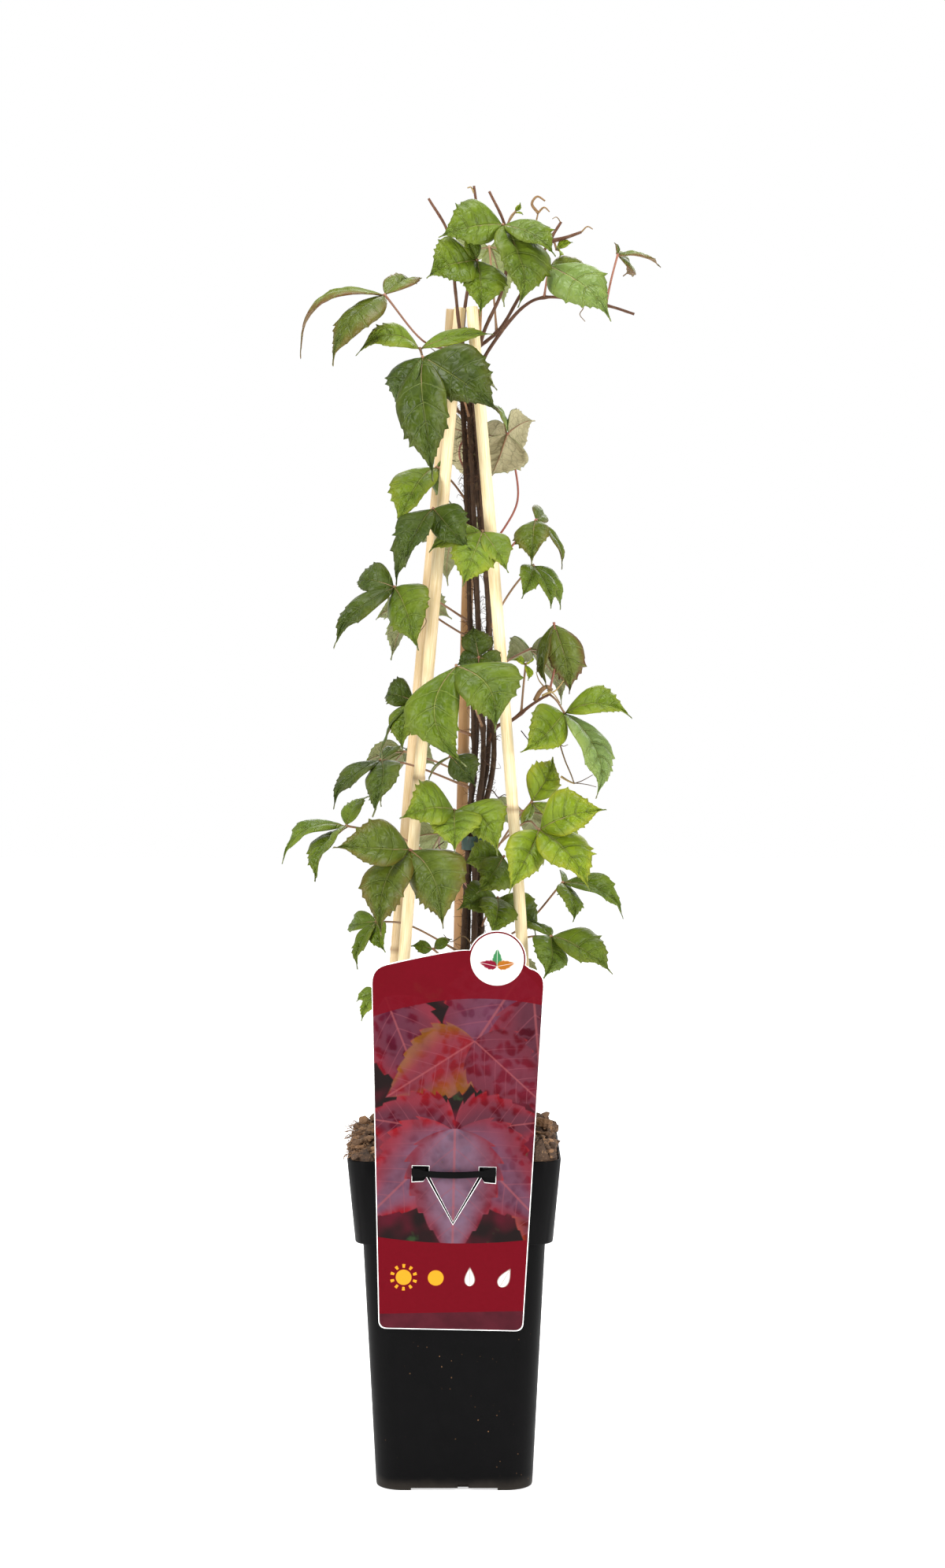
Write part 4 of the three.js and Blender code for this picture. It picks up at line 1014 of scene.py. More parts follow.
def crimson_print():
    """The sheet's printed face: autumn leaves on a dark hedge, between a crimson crown and foot."""
    paint = Paint("crimson_print")
    own = paint.own_map()
    x = paint.part(own, "X")
    y = paint.part(own, "Y")
    grain = paint.cloud(own, 40, 3)
    blur = paint.cloud(own, 3.2, 2)
    shade = paint.cloud(own, 7, 3)
    warped = paint.shift(own, paint.vector(blur * 0.3, shade * 0.2))
    crease = paint.step(paint.cells(warped, 16), 0.25, 0.6)
    hedge = paint.mix(paint.step(blur, 0.4, 0.62), (0.010, 0.006, 0.006), (0.075, 0.006, 0.014))
    color = paint.mix(paint.step(shade, 0.58, 0.7) * 0.5, hedge, (0.03, 0.065, 0.022))
    # Each leaf's foot, direction, length and width, and its colours at the rim and in the middle
    fan = [
        ((-0.50, 1.30), 250, 0.62, 0.62, (0.13, 0.004, 0.008), (0.035, 0.001, 0.004)),
        ((0.50, 0.96), 262, 0.52, 0.60, (0.20, 0.025, 0.006), (0.075, 0.005, 0.006)),
        ((0.36, 2.06), 238, 0.78, 0.66, (0.095, 0.004, 0.012), (0.085, 0.020, 0.042)),
        ((0.42, 1.92), 276, 0.74, 0.60, (0.12, 0.005, 0.012), (0.040, 0.002, 0.006)),
        ((-0.40, 1.90), 292, 0.66, 0.60, (0.15, 0.005, 0.010), (0.060, 0.004, 0.014)),
        ((0.10, 1.66), 214, 0.60, 0.62, (0.16, 0.060, 0.006), (0.15, 0.008, 0.012)),
        ((0.10, 1.66), 318, 0.56, 0.62, (0.075, 0.002, 0.006), (0.10, 0.007, 0.016)),
        ((0.0, 1.14), 172, 0.56, 0.66, (0.18, 0.005, 0.008), (0.055, 0.003, 0.010)),
        ((0.0, 1.14), 8, 0.54, 0.66, (0.15, 0.004, 0.008), (0.050, 0.002, 0.007)),
        ((0.0, 1.14), 226, 0.72, 0.62, (0.19, 0.006, 0.010), (0.10, 0.045, 0.075)),
        ((0.0, 1.14), 314, 0.72, 0.62, (0.14, 0.004, 0.009), (0.085, 0.032, 0.058)),
        ((0.0, 1.16), 270, 0.78, 0.60, (0.12, 0.010, 0.018), (0.13, 0.080, 0.120)),
    ]
    for foot, degrees, length, width, rim, middle in fan:
        mask, side_veins, midrib, spread = printed_leaf(paint, x, y, foot, degrees, length, width)
        leaf = paint.mix(paint.step(spread + blur * 0.5 - 0.25, 0.25, 0.95), middle, rim)
        leaf = paint.mix(paint.step(shade, 0.3, 0.75) * 0.5, leaf, (0.030, 0.001, 0.004))
        leaf = paint.mix(crease * 0.22, leaf, (0.16, 0.07, 0.10))
        leaf = paint.mix(side_veins * 0.35, leaf, (0.19, 0.05, 0.065))
        leaf = paint.mix(midrib * 0.5, leaf, (0.24, 0.06, 0.065))
        leaf = paint.mix(paint.step(spread, 0.94, 0.99) * 0.5, leaf, (0.22, 0.02, 0.02))
        color = paint.mix(mask, color, leaf)
    crimson = paint.mix(grain, (0.100, 0.0012, 0.0050), (0.116, 0.0016, 0.0066))
    foot_band = 1 - paint.step(y - 0.50 - x * x * 0.16, 0.0, 0.004)
    strip = 1 - paint.step(y - 0.10 - x * 0.04, 0.0, 0.004)
    crown = paint.step(y - 1.90 + (x - 0.15) * (x - 0.15) * 0.30, 0.0, 0.004)
    color = paint.mix(foot_band, color, crimson)
    color = paint.mix(strip, color, paint.mix(shade, (0.020, 0.004, 0.006), (0.09, 0.012, 0.02)))
    color = paint.mix(crown * 0.92, color, crimson)
    amber = (0.62, 0.26, 0.015)
    for place in (sun_place, disc_place):
        away = distance(x - place[0], y - place[1])
        color = paint.mix(1 - paint.step(away - disc_radius, 0.0, 0.004), color, amber)
    right = x - sun_place[0]
    rise = y - sun_place[1]
    away = distance(right, rise)
    ray = (rise.math("ARCTAN2", rise, right) * (5 / math.pi)).swing(0.5)
    ring = paint.step(away, 0.054, 0.057) * (1 - paint.step(away, 0.074, 0.078))
    color = paint.mix(paint.step(ray, 0.3, 0.34) * ring, color, amber)
    for foot, degrees, length in (((0.10, 0.255), 90, 0.12), ((0.27, 0.255), 62, 0.13)):
        mask, side_veins, midrib, spread = printed_leaf(paint, x, y, foot, degrees, length, 0.5, 0)
        color = paint.mix(mask * (1 - midrib), color, (0.66, 0.64, 0.58))
    away = distance(x - bump_x / map_unit, y - bump_y / map_unit)
    color = paint.mix(1 - paint.step(away, badge_radius, badge_radius + 0.003), color, (0.74, 0.73, 0.69))
    sprigs = {90: (0.035, 0.16, 0.06), 168: (0.16, 0.006, 0.02), 12: (0.30, 0.10, 0.012)}
    for degrees, tint in sprigs.items():
        mask, side_veins, midrib, spread = printed_leaf(paint, x, y, sprig_place, degrees, 0.115, 0.5, 5)
        color = paint.mix(mask * (1 - midrib * 0.8), color, tint)
    return paint.finish(color, 0.34 + grain * 0.08, grain, 0.00004, 0.25, Specular_IOR_Level=0.04)


def map_flat(piece):
    """Gives a flat sheet a map of its own plane."""
    sheet = piece.data.uv_layers.new(name="own_map")
    for loop in piece.data.loops:
        place = piece.data.vertices[loop.vertex_index].co / (map_unit * MM)
        sheet.data[loop.index].uv = (place.x, place.y)


card = cut_sheet("label_card", [card_outline(0), slit_outline(0)], label_thickness)
hang(card, label_thickness / 2)
card.data.materials.append(white_card())
ink = cut_sheet("label_print", [card_outline(print_margin), slit_outline(slit_margin)], print_thickness)
map_flat(ink)
hang(ink, label_thickness)
ink.data.materials.append(crimson_print())
for piece in (card, ink):
    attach(piece, "root")
    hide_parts("label")


# Woody stems
# Five stems as thick as knitting needles, twisted loosely into a bundle and tied in. Their bark is dark
# brown and cracked, with swollen joints where leaves grow, short climbing roots and cut-off tops.
foot_radius = 2.0
tip_radius = 0.75
wood_sides = 10
stem_steps = 34
young_from_z = 600
rootlet_count = 270
rootlet_radii = (0.2, 0.18, 0.15, 0.12, 0.08)

# Each height, the bundle's middle in x and y there, and the radius of its ring of stems
bundle = [
    (140, 8, 4, 8), (186, 8, 4, 9), (250, 9, 3, 6.5), (306, 10.5, 2, 5.2), (356, 11, 2, 3.8),
    (372, 11, 2, 3.8), (410, 16, 1.5, 6), (455, 16, 1, 5.8), (496, 15, 1, 5.6), (565, 10.5, 1, 4.2),
    (600, 8.3, 0.6, 3.4), (622, 6.8, 0.3, 3),
]


def stem_line(degrees, free):
    """A stem's axis: up the bundle at its own angle, then free above the upper tie."""
    line = []
    for z, x, y, ring in bundle:
        slack = 0.25 * (ring - 3)
        angle = math.radians(degrees) + 0.25 * math.sin(z / 45)
        reach = ring + slack * math.sin(z / 29 + degrees)
        line.append((x + math.cos(angle) * reach, y + math.sin(angle) * reach, z))
    return line + free


stems = {
    "front": {
        "line": stem_line(-90, [
            (6, -5.5, 640), (3, -8, 656), (0.7, -9, 677), (-3.2, -8, 709), (-14.4, -6, 729)]),
        "twigs": [],
    },
    "right": {
        "line": stem_line(-18, [
            (13, -1, 640), (17, -1, 655), (26.8, -3, 677), (30, -5, 695), (28.5, -6, 714),
            (19.8, -6, 733)]),
        "twigs": [[
            (19.5, -0.5, 422.4), (24, -1, 430.4), (32.6, -8, 434.4), (43.6, -6, 442.9), (53.9, -4, 449.4)]],
    },
    "back_right": {
        "line": stem_line(54, [
            (13.5, 2.6, 632), (19.2, 3, 644), (39.4, 2, 669), (50.9, 0, 674), (86, -6, 669),
            (101.7, -8, 664)]),
        "twigs": [],
    },
    "back_left": {
        "line": stem_line(126, [
            (4.5, 8.5, 634), (9, 13.5, 643), (18, 13, 650), (26, 11, 657), (36.4, 8, 674), (48, 6, 695),
            (55, 5, 708), (60.7, 4, 717)]),
        "twigs": [[(54, 5, 706), (63, 3.5, 708), (72, 2, 711)]],
    },
    "left": {
        "line": stem_line(198, [(6, 3.5, 668), (10, 4, 690), (14, 3, 711), (11.2, 2, 737)]),
        "twigs": [],
    },
}


def bark():
    """Dark cracked bark, lighter and redder on the youngest wood."""
    paint = Paint("bark")
    own = paint.own_map()
    place = paint.place()
    tone = paint.tone()
    young = paint.part(tone, "X")
    straw = paint.part(tone, "Y")
    grain = paint.cloud(paint.stretch(own, (16, 0.35, 1)), 1, 4, 0.65)
    lichen = paint.step(paint.cloud(place, 210, 3), 0.55, 0.75)
    old = paint.mix(grain, (0.012, 0.007, 0.004), (0.095, 0.048, 0.024))
    fresh = paint.mix(grain, (0.075, 0.024, 0.016), (0.24, 0.11, 0.055))
    color = paint.mix(lichen * 0.4, paint.mix(young, old, fresh), (0.20, 0.13, 0.07))
    color = paint.mix(straw, color, paint.mix(grain, (0.36, 0.25, 0.08), (0.62, 0.46, 0.20)))
    return paint.finish(color, 0.6 + grain * 0.25, grain, 0.0006, 0.8, Specular_IOR_Level=0.3)


# Old tendrils, dried buds and withered tips: points, radius at the start and end, how young and how dry
threads = {
    "right": [
        ([(56, -8, 437.4), (57.5, -10, 431.4), (60, -13, 420.9), (63, -15, 411.4), (66, -16, 404.4),
          (68, -16.5, 398.9)], 0.5, 0.35, (0.4, 0.3)),
        ([(68, -16.5, 398.9), (72, -18, 400.4), (78.5, -18, 403.9)], 0.32, 0.2, (0.2, 0.1)),
        ([(68, -16.5, 399.2), (75, -17, 398.4), (80.5, -16, 396.9)], 0.3, 0.2, (0.2, 0.1)),
        ([(68, -16.5, 398.9), (64.5, -16, 400.4), (60.5, -17, 402.9)], 0.45, 0.8, (0.2, 0.7)),
        ([(60, -13, 420.9), (62, -13.5, 419.9), (64.5, -14, 420.9)], 0.3, 0.2, (0.3, 0.2)),
        ([(38, -6, 428.4), (43, -9, 422.4), (46, -11, 420.4), (49, -11, 421.4), (52, -12, 419.9)],
         0.32, 0.18, (0.1, 0.0)),
        ([(46, -4.5, 445.4), (49, -6, 450.9), (52.5, -6.5, 453.4), (55.5, -5, 451.4)],
         1.5, 1.1, (1.0, 0.25)),
        ([(50, -6, 448.4), (53, -7.5, 449.9), (57, -7, 450.9), (62.2, -8, 456.9)], 0.7, 0.3, (0.5, 0.8)),
        ([(53, -6, 451.4), (56.5, -8, 449.4), (60, -8.5, 444.4)], 0.5, 0.25, (0.4, 0.8)),
        ([(51, -6, 453.4), (48, -7, 457.4), (46.5, -7, 461.9)], 0.45, 0.2, (0.5, 0.5)),
        ([(17, -9, 395.4), (22, -13, 394.4), (25, -14, 390.9), (28.5, -14, 392.4), (31.5, -13, 390.4)],
         0.4, 0.2, (0.1, 0.0)),
        ([(25, -14, 390.9), (24, -15, 387.9), (22, -15, 388.4)], 0.3, 0.2, (0.1, 0.0)),
        ([(28.5, -6, 712), (31.5, -6, 717), (34.5, -6, 721.5)], 0.55, 0.5, (0.6, 0.5)),
    ],
    "back_left": [
        ([(48, 6, 694), (47.5, 5, 704), (46, 4, 713), (47.5, 4, 722)], 0.5, 0.45, (1.0, 0.35)),
        ([(47.5, 4, 722), (44, 3, 727), (47, 2, 731), (51.5, 2, 728.5)], 0.9, 0.5, (1.0, 0.25)),
        ([(47.5, 4, 722), (51, 3, 725), (54, 3, 722.5)], 0.7, 0.35, (1.0, 0.3)),
        ([(60.7, 4, 716), (58, 3, 719.5), (55.5, 3, 718.5)], 0.35, 0.2, (0.5, 0.3)),
        ([(72, 2, 711), (75.5, 1, 714), (78.5, 1, 712.5)], 0.5, 0.3, (0.8, 0.3)),
    ],
    "front": [
        ([(2, -12, 640), (-4, -15, 645), (-9, -16, 642), (-14, -17, 645)], 0.35, 0.2, (0.2, 0.1)),
        ([(15, -14, 414.4), (20, -18, 409.4), (24, -17, 412.4)], 0.35, 0.2, (0.1, 0.0)),
        ([(12, -14, 304.4), (5, -20, 312.4), (-2, -22, 309.4), (-6, -21, 313.4)], 0.4, 0.2, (0.2, 0.2)),
    ],
    "left": [
        ([(-14, 4, 502.4), (-18, -1, 496.4), (-16, -3, 490.4), (-19, -4, 485.4)], 0.35, 0.2, (0.2, 0.1)),
        ([(11.2, 2, 733), (9.5, 0, 736), (7.5, -1, 735.5)], 0.55, 0.35, (0.6, 0.6)),
        ([(-6, 1, 364.4), (-11, -4, 360.4), (-10, -7, 355.4), (-13, -8, 352.4)], 0.35, 0.2, (0.1, 0.0)),
    ],
    "back_right": [
        ([(70, -4, 672), (73, -5, 668), (71, -6, 664), (74, -6, 660)], 0.35, 0.2, (0.3, 0.2)),
    ],
}

bark_skin = bark()
stem_samples = {name: smooth_line(stem["line"], stem_steps) for name, stem in stems.items()}


def wood_radii(line, start, end, knots, seed):
    """Radii along a stem: tapered, uneven, and swollen at its knots."""
    radii = []
    for i, point in enumerate(line):
        share = i / (len(line) - 1)
        radius = start + (end - start) * share
        rough = noise.noise(Vector((point.z * 0.12, seed, 0))) * 0.16 + noise.noise(point * 0.45) * 0.08
        knot = sum(math.exp(-((point - place).length / 2.2) ** 2) for place in knots)
        radii.append(radius * (1 + rough + 0.35 * min(knot, 1)))
    return radii


def grow_wood(name, knots, draw):
    """A stem's wood: the stem itself, its twigs, its climbing roots and what has dried on it."""
    growth = Growth()
    line = stem_samples[name]
    radii = wood_radii(line, foot_radius, tip_radius, knots, len(name))
    growth.tube(line, radii, wood_sides)
    for index, place in enumerate(growth.points):
        growth.tones[4 * index] = min(0.8, max(0.0, (place.z / MM - young_from_z) / 160))
    for twig in stems[name]["twigs"]:
        twig_line = smooth_line(twig, 14)
        growth.tube(twig_line, wood_radii(twig_line, 1.25, 0.8, knots, 5.0), 8, (0.6, 0, 0, 1))
    for _ in range(rootlet_count):
        place = line[int(draw.uniform(0.16, 0.66) * len(line))]
        angle = draw.uniform(0, 2 * math.pi)
        way = Vector((math.cos(angle), math.sin(angle), draw.uniform(-0.5, 0.7))).normalized()
        length = draw.uniform(1.5, 5.5)
        droop = Vector((draw.uniform(-3, 3), draw.uniform(-3, 3), draw.uniform(-5, 4)))
        kink = Vector((draw.uniform(-1.5, 1.5), draw.uniform(-1.5, 1.5), draw.uniform(-1, 2)))
        root = [place + way * 0.8, place + way * (1.2 + length * 0.5) + kink, place + way * length + droop]
        growth.tube(smooth_line(root, 2), rootlet_radii, 3, (draw.uniform(0, 0.6), 0, 0, 1))
    for points, thick, thin, tone in threads.get(name, []):
        line = smooth_line(points, 6)
        steps = len(line) - 1
        radii = [thick + (thin - thick) * i / steps for i in range(steps + 1)]
        growth.tube(line, radii, 6, (*tone, 0, 1))
    return growth.piece(f"wood_{name}", bark_skin)


# Leaves
# Each leaf is a petiole with three toothed leaflets, as thin as card and quilted between their veins:
# glossy green above and paler below. They are set on the stems from the joint on the stem, past the
# points where the petiole bends, to the hub, with each leaflet's tip and width.
stalk_rise = 1.5
blade_start = 0.4
blade_fold = math.tan(math.radians(14))
blade_arch = 0.1
blade_thickness = 0.35
half_width = 0.52
plant_axis = Vector((8, 2, 0))
columns = 8
belly_place = 0.4
tooth_tip = 0.8
tooth_rows = (0, 0.4, 0.8, 0.9)
plain_rows = (0, 0.5)
rib_drop = 0.35
rib_steps = 11

# How fresh and yellow, how bronze, how dark and how pale each kind of leaf is
tones = {
    "mid": (0.15, 0.05, 0.25, 0.0),
    "fresh": (0.5, 0.0, 0.0, 0.1),
    "lime": (1.0, 0.0, 0.0, 0.0),
    "dark": (0.0, 0.1, 0.85, 0.0),
    "olive": (0.25, 0.5, 0.55, 0.0),
    "bronze": (0.2, 0.95, 0.2, 0.1),
    "sea": (0.1, 0.0, 0.0, 0.7),
    "glaucous": (0.4, 0.0, 0.0, 1.0),
    "dull": (0.2, 0.25, 0.1, 0.9),
}

# Joint on the stem, bends, hub, kind and leaflets; where no leaflets are given, rear_blades makes them
leaves = {
    "front": [
        (638, [(3, -10, 643), (-15, -11, 647)], (-39, -20, 674), "olive", [
            (-70.3, -42, 635.8, 30),
            (-88.3, -10, 639.8, 23, {"face": (-0.5, -0.2, 0.85), "arch": 0.28, "tone": "bronze"}),
            (-21.4, 4, 684.5, 19, {"face": (0, -0.5, 1), "tone": "bronze"})]),
        (606, [(3, -16, 620)], (-17.6, -26, 639), "dark", [
            (-10.8, -44, 570.4, 31), (25.3, -40, 607.8, 32),
            (-32, -22, 607.5, 23, {"face": (-0.75, -0.6, 0.2)})]),
        (533, [(4, -18, 544.4)], (-11.9, -22, 554.4), "dark", [
            (9, -38, 531, 21), (-28.5, -40, 523.4, 22), (-33.7, -24, 511.4, 16)]),
        (520, [], (15.9, -26, 541.4), "fresh", [
            (-15, -22, 530.4, 14), (5.9, -40, 510.4, 25), (29.8, -36, 518.4, 16)]),
        (450, [], (13.9, -22, 470.4), "dark", [
            (10.3, -16, 488.4, 18), (1.5, -26, 466.4, 13), (28, -30, 465.4, 14)]),
        (430, [], (1.3, -44, 466.4), "mid", [
            (5.5, -56, 410.4, 30, {"bend": -0.26}), (21.5, -60, 429.4, 34, {"bend": 0.2})]),
        (375, [], (0.2, -40, 385.4), "fresh", [
            (-30, -48, 381.4, 27, {"arch": 0.25}), (1, -62, 364.4, 28),
            (25, -56, 362.4, 25, {"bend": 0.2})]),
        (335, [(-6, -34, 354.4)], (-24.5, -46, 363.4), "olive", [
            (-67.2, -54, 366.4, 28, {"arch": 0.2, "bend": 0.1}), (-40.8, -64, 317.4, 28, {"bend": -0.12}),
            (-6.2, -64, 321.4, 33, {"bend": 0.17})]),
        (350, [(40, -12, 376.4)], (47.8, -40, 374.4), "lime", [
            (85.2, -44, 385.4, 26, {"arch": 0.2}), (75.1, -62, 343.4, 31), (30.5, -62, 341.4, 23)]),
    ],
    "right": [
        (705, [], (27.6, -14, 713.5), "mid", [
            (-8.6, -24, 707.5, 29), (57.6, -30, 695.5, 25), (39, -36, 666.8, 36)]),
        ((30, -6, 714), [], (34.5, -6, 721.5), "lime", [(37.5, -7, 726.5, 4), (39, -8, 720, 4)]),
        (530, [(28.3, 2, 543.4), (36, 5, 559.4), (33.8, 6, 582.4)], (30.2, 6, 597.4), "dull", [
            (20, 4, 615.8, 16), (45.5, 18, 606, 23, {"face": (0.2, 0.9, 0.4)}),
            (21.6, -8, 572.4, 30, {"face": (0.2, 1, 0.2)})]),
        (515, [(31.9, -4, 532.4)], (46.2, -10, 548), "olive", [
            (43, -34, 523.9, 20, {"face": (-0.3, -1, 0.3)}),
            (62.6, -14, 520.9, 14, {"face": (0.8, -0.3, 0.5)}), (50, 18, 552.4, 12)]),
        (485, [(27.4, -4, 500.4), (36.2, -12, 513.4)], (44.7, -16, 522.4), "mid", [
            (37.8, -34, 504.4, 14), (61.4, -8, 497.4, 16), (54.9, -22, 498.4, 14)]),
        ((53.9, -4, 449.4), [(58, -1, 470.4)], (56.8, 2, 489.4), "olive", [
            (66, 6, 448.4, 21, {"face": (0.2, -1, 0.3), "tone": "bronze"}),
            (51, -8, 452.4, 13, {"face": (-0.8, -0.5, 0)})]),
        ((38, -7, 438.4), [], (40.5, -12, 466.4), "lime", [
            (34, -14, 469.4, 6), (45, -16, 470.4, 6), (42.5, -18, 457.4, 6)]),
        ((53.9, -4, 449.4), [], (62.3, -16, 439), "fresh", [
            (100.6, -20, 437.4, 22, {"arch": 0.2}),
            (82, -36, 392.4, 31, {"bend": 0.12, "tone": "glaucous"}), (38.5, -38, 417.4, 25)]),
        (345, [(32, 2, 372.4)], (43.9, -12, 388.2), "lime", [
            (57, -2, 413.4, 22), (38, -6, 373.2, 12), (73.4, 2, 360.4, 18)]),
        (335, [], (28, -30, 358.4), "mid", [(5, -28, 354.4, 19), (13.4, -44, 338.4, 21)]),
        (315, [], (24.5, -22, 334.4), "mid", [
            (2, -38, 330.4, 20), (22.7, -46, 314.4, 23), (48, -4, 311.4, 19)]),
        (285, [(38, -4, 308.4)], (54.8, -26, 313), "mid", [
            (90, -34, 293.4, 26), (51.3, -44, 291.4, 25), (39, -6, 318.4, 17)]),
    ],
    "back_right": [
        ((50.9, 0, 674), [], (53.9, -6, 691), "sea", [
            (88, -30, 660.8, 30, {"face": (0.1, -0.9, 0.5)}), (82.2, 14, 684.5, 18, {"tone": "bronze"}),
            (47, -15, 693.5, 10)]),
        ((85.6, -6, 669), [], (92.3, -6, 697.5), "bronze", [
            (117.3, 2, 692.2, 14, {"face": (0, -0.3, 1)}), (90.7, -6, 704.5, 7), (100, 28, 688.5, 14)]),
        (300, [(40, 2, 316.4)], (61.4, -20, 343), "mid", [
            (67.7, -36, 322.4, 18), (97, -22, 324.4, 18, {"arch": 0.2}), (62, 14, 332.4, 16)]),
        (386, [], (40, 44, 379.4), "mid", None),
        (275, [], (24, 48, 289.4), "dark", None),
        (460, [], (44, 30, 474.4), "mid", None),
    ],
    "back_left": [
        ((55, 5, 708), [], (57.9, 4, 701.5), "lime", [(67.3, 4, 705.5, 6), (60, -8, 696.5, 6)]),
        (575, [(3, 12, 584.4), (4, 20, 592.4)], (9, 22, 597.4), "dull", [
            (6, 38, 571, 27), (-16, 36, 602.4, 18), (34, 40, 592.4, 18)]),
        (606, [(0, 20, 616)], (-2, 38, 634), "mid", None),
        (655, [], (20, 30, 705.5), "fresh", None),
        (525, [(1, 14, 535.4)], (0, 42, 544.4), "dark", None),
        (350, [(-8, 22, 358.4)], (-8, 46, 366.4), "fresh", None),
        (400, [], (-30, 44, 414.4), "mid", None),
        (250, [], (-22, 48, 266.4), "olive", None),
        (478, [(-4, 14, 488.4)], (-22, 36, 500.4), "mid", None),
    ],
    "left": [
        (684, [], (13, -16, 693.5), "mid", [
            (-15, -26, 683.5, 30), (15.7, -30, 662.8, 25), (5, -18, 706.5, 10)]),
        (608, [(-10, 2, 617)], (-19.1, -18, 644), "fresh", [
            (-54.9, -26, 641.8, 20, {"arch": 0.3}), (22.5, -18, 652.8, 12)]),
        (559, [], (-10, 2, 578.4), "mid", [
            (-32.4, -24, 543, 25, {"arch": 0.15, "face": (-0.4, -0.9, 0.5), "tone": "fresh"}),
            (0.9, 6, 582, 11), (-2.3, 3, 557.4, 14)]),
        (490, [(-14, 4, 504.4)], (-33.5, -20, 510.2), "dark", [
            (-68, -34, 477.4, 22), (-22, -44, 475.4, 29, {"bend": 0.1, "tone": "mid"}),
            (-56.2, -2, 512.4, 18, {"arch": 0.2})]),
        (425, [(-30, -2, 442.4)], (-22.5, -28, 446), "dark", [
            (-40, -20, 447.4, 17, {"arch": 0.3}), (-30.8, -42, 419.4, 24, {"tone": "mid"}),
            (-41.8, -34, 413.4, 12, {"face": (-1, 0, 0.3)})]),
        (395, [(-24, 0, 408.4)], (-41.4, -18, 412.4), "dark", [
            (-69.6, -30, 387.4, 18), (-45.8, -40, 382.4, 26, {"bend": 0.22}), (-28.3, -6, 419.4, 14)]),
        # This leaf's dark kind is painted shade: it hangs in shadow behind the leaves in front of it
        (402, [], (-2.2, -14, 414.4), "dark", [
            (11.7, -20, 397.4, 18), (-15.6, -10, 399.4, 8, {"face": (-0.3, 0, 0.9)})]),
        (340, [(-30, 4, 366.4)], (-61.5, -10, 374.4), "mid", [
            (-50, 0, 391.4, 21), (-98.6, -16, 354.4, 18, {"arch": 0.22}), (-80, -36, 345.4, 28)]),
        (300, [(-26, 2, 316.4)], (-44, -20, 320.9), "mid", [
            (-57.2, -28, 295.4, 12), (-40, -34, 304.4, 14), (-62, 6, 312.4, 12)]),
        (255, [(-24, -4, 274.4)], (-42.8, -30, 281.8), "fresh", [
            (-52.7, -40, 267, 12), (-56, -26, 276.4, 8)]),
        (285, [], (-12, -14, 304.4), "mid", [(-24.6, -14, 306.4, 8), (-1.3, -14, 310.4, 8)]),
    ],
}


def rear_blades(hub):
    """The leaves behind share one form: a drooping middle leaflet and two that spread."""
    out = Vector((hub.x - plant_axis.x, hub.y - plant_axis.y, 0)).normalized()
    side = Vector((-out.y, out.x, 0))
    blades = []
    for outward, sideways, drop, width in ((24, 0, 32, 18), (3, 29, 8, 17), (3, -29, 8, 17)):
        tip = hub + out * outward + side * sideways
        blades.append((tip.x, tip.y, tip.z - drop, width))
    return blades


def blade_reach(x):
    """Half a leaflet's width along its length, as a share of the widest: round base, belly, long tip."""
    if x < belly_place:
        return math.sin(math.pi / 2 * x / belly_place) ** 0.85
    taper = (x - belly_place) / (1 - belly_place)
    return max(0.0, 1 - taper ** 1.75) ** (1 + 1.4 * taper ** 2)


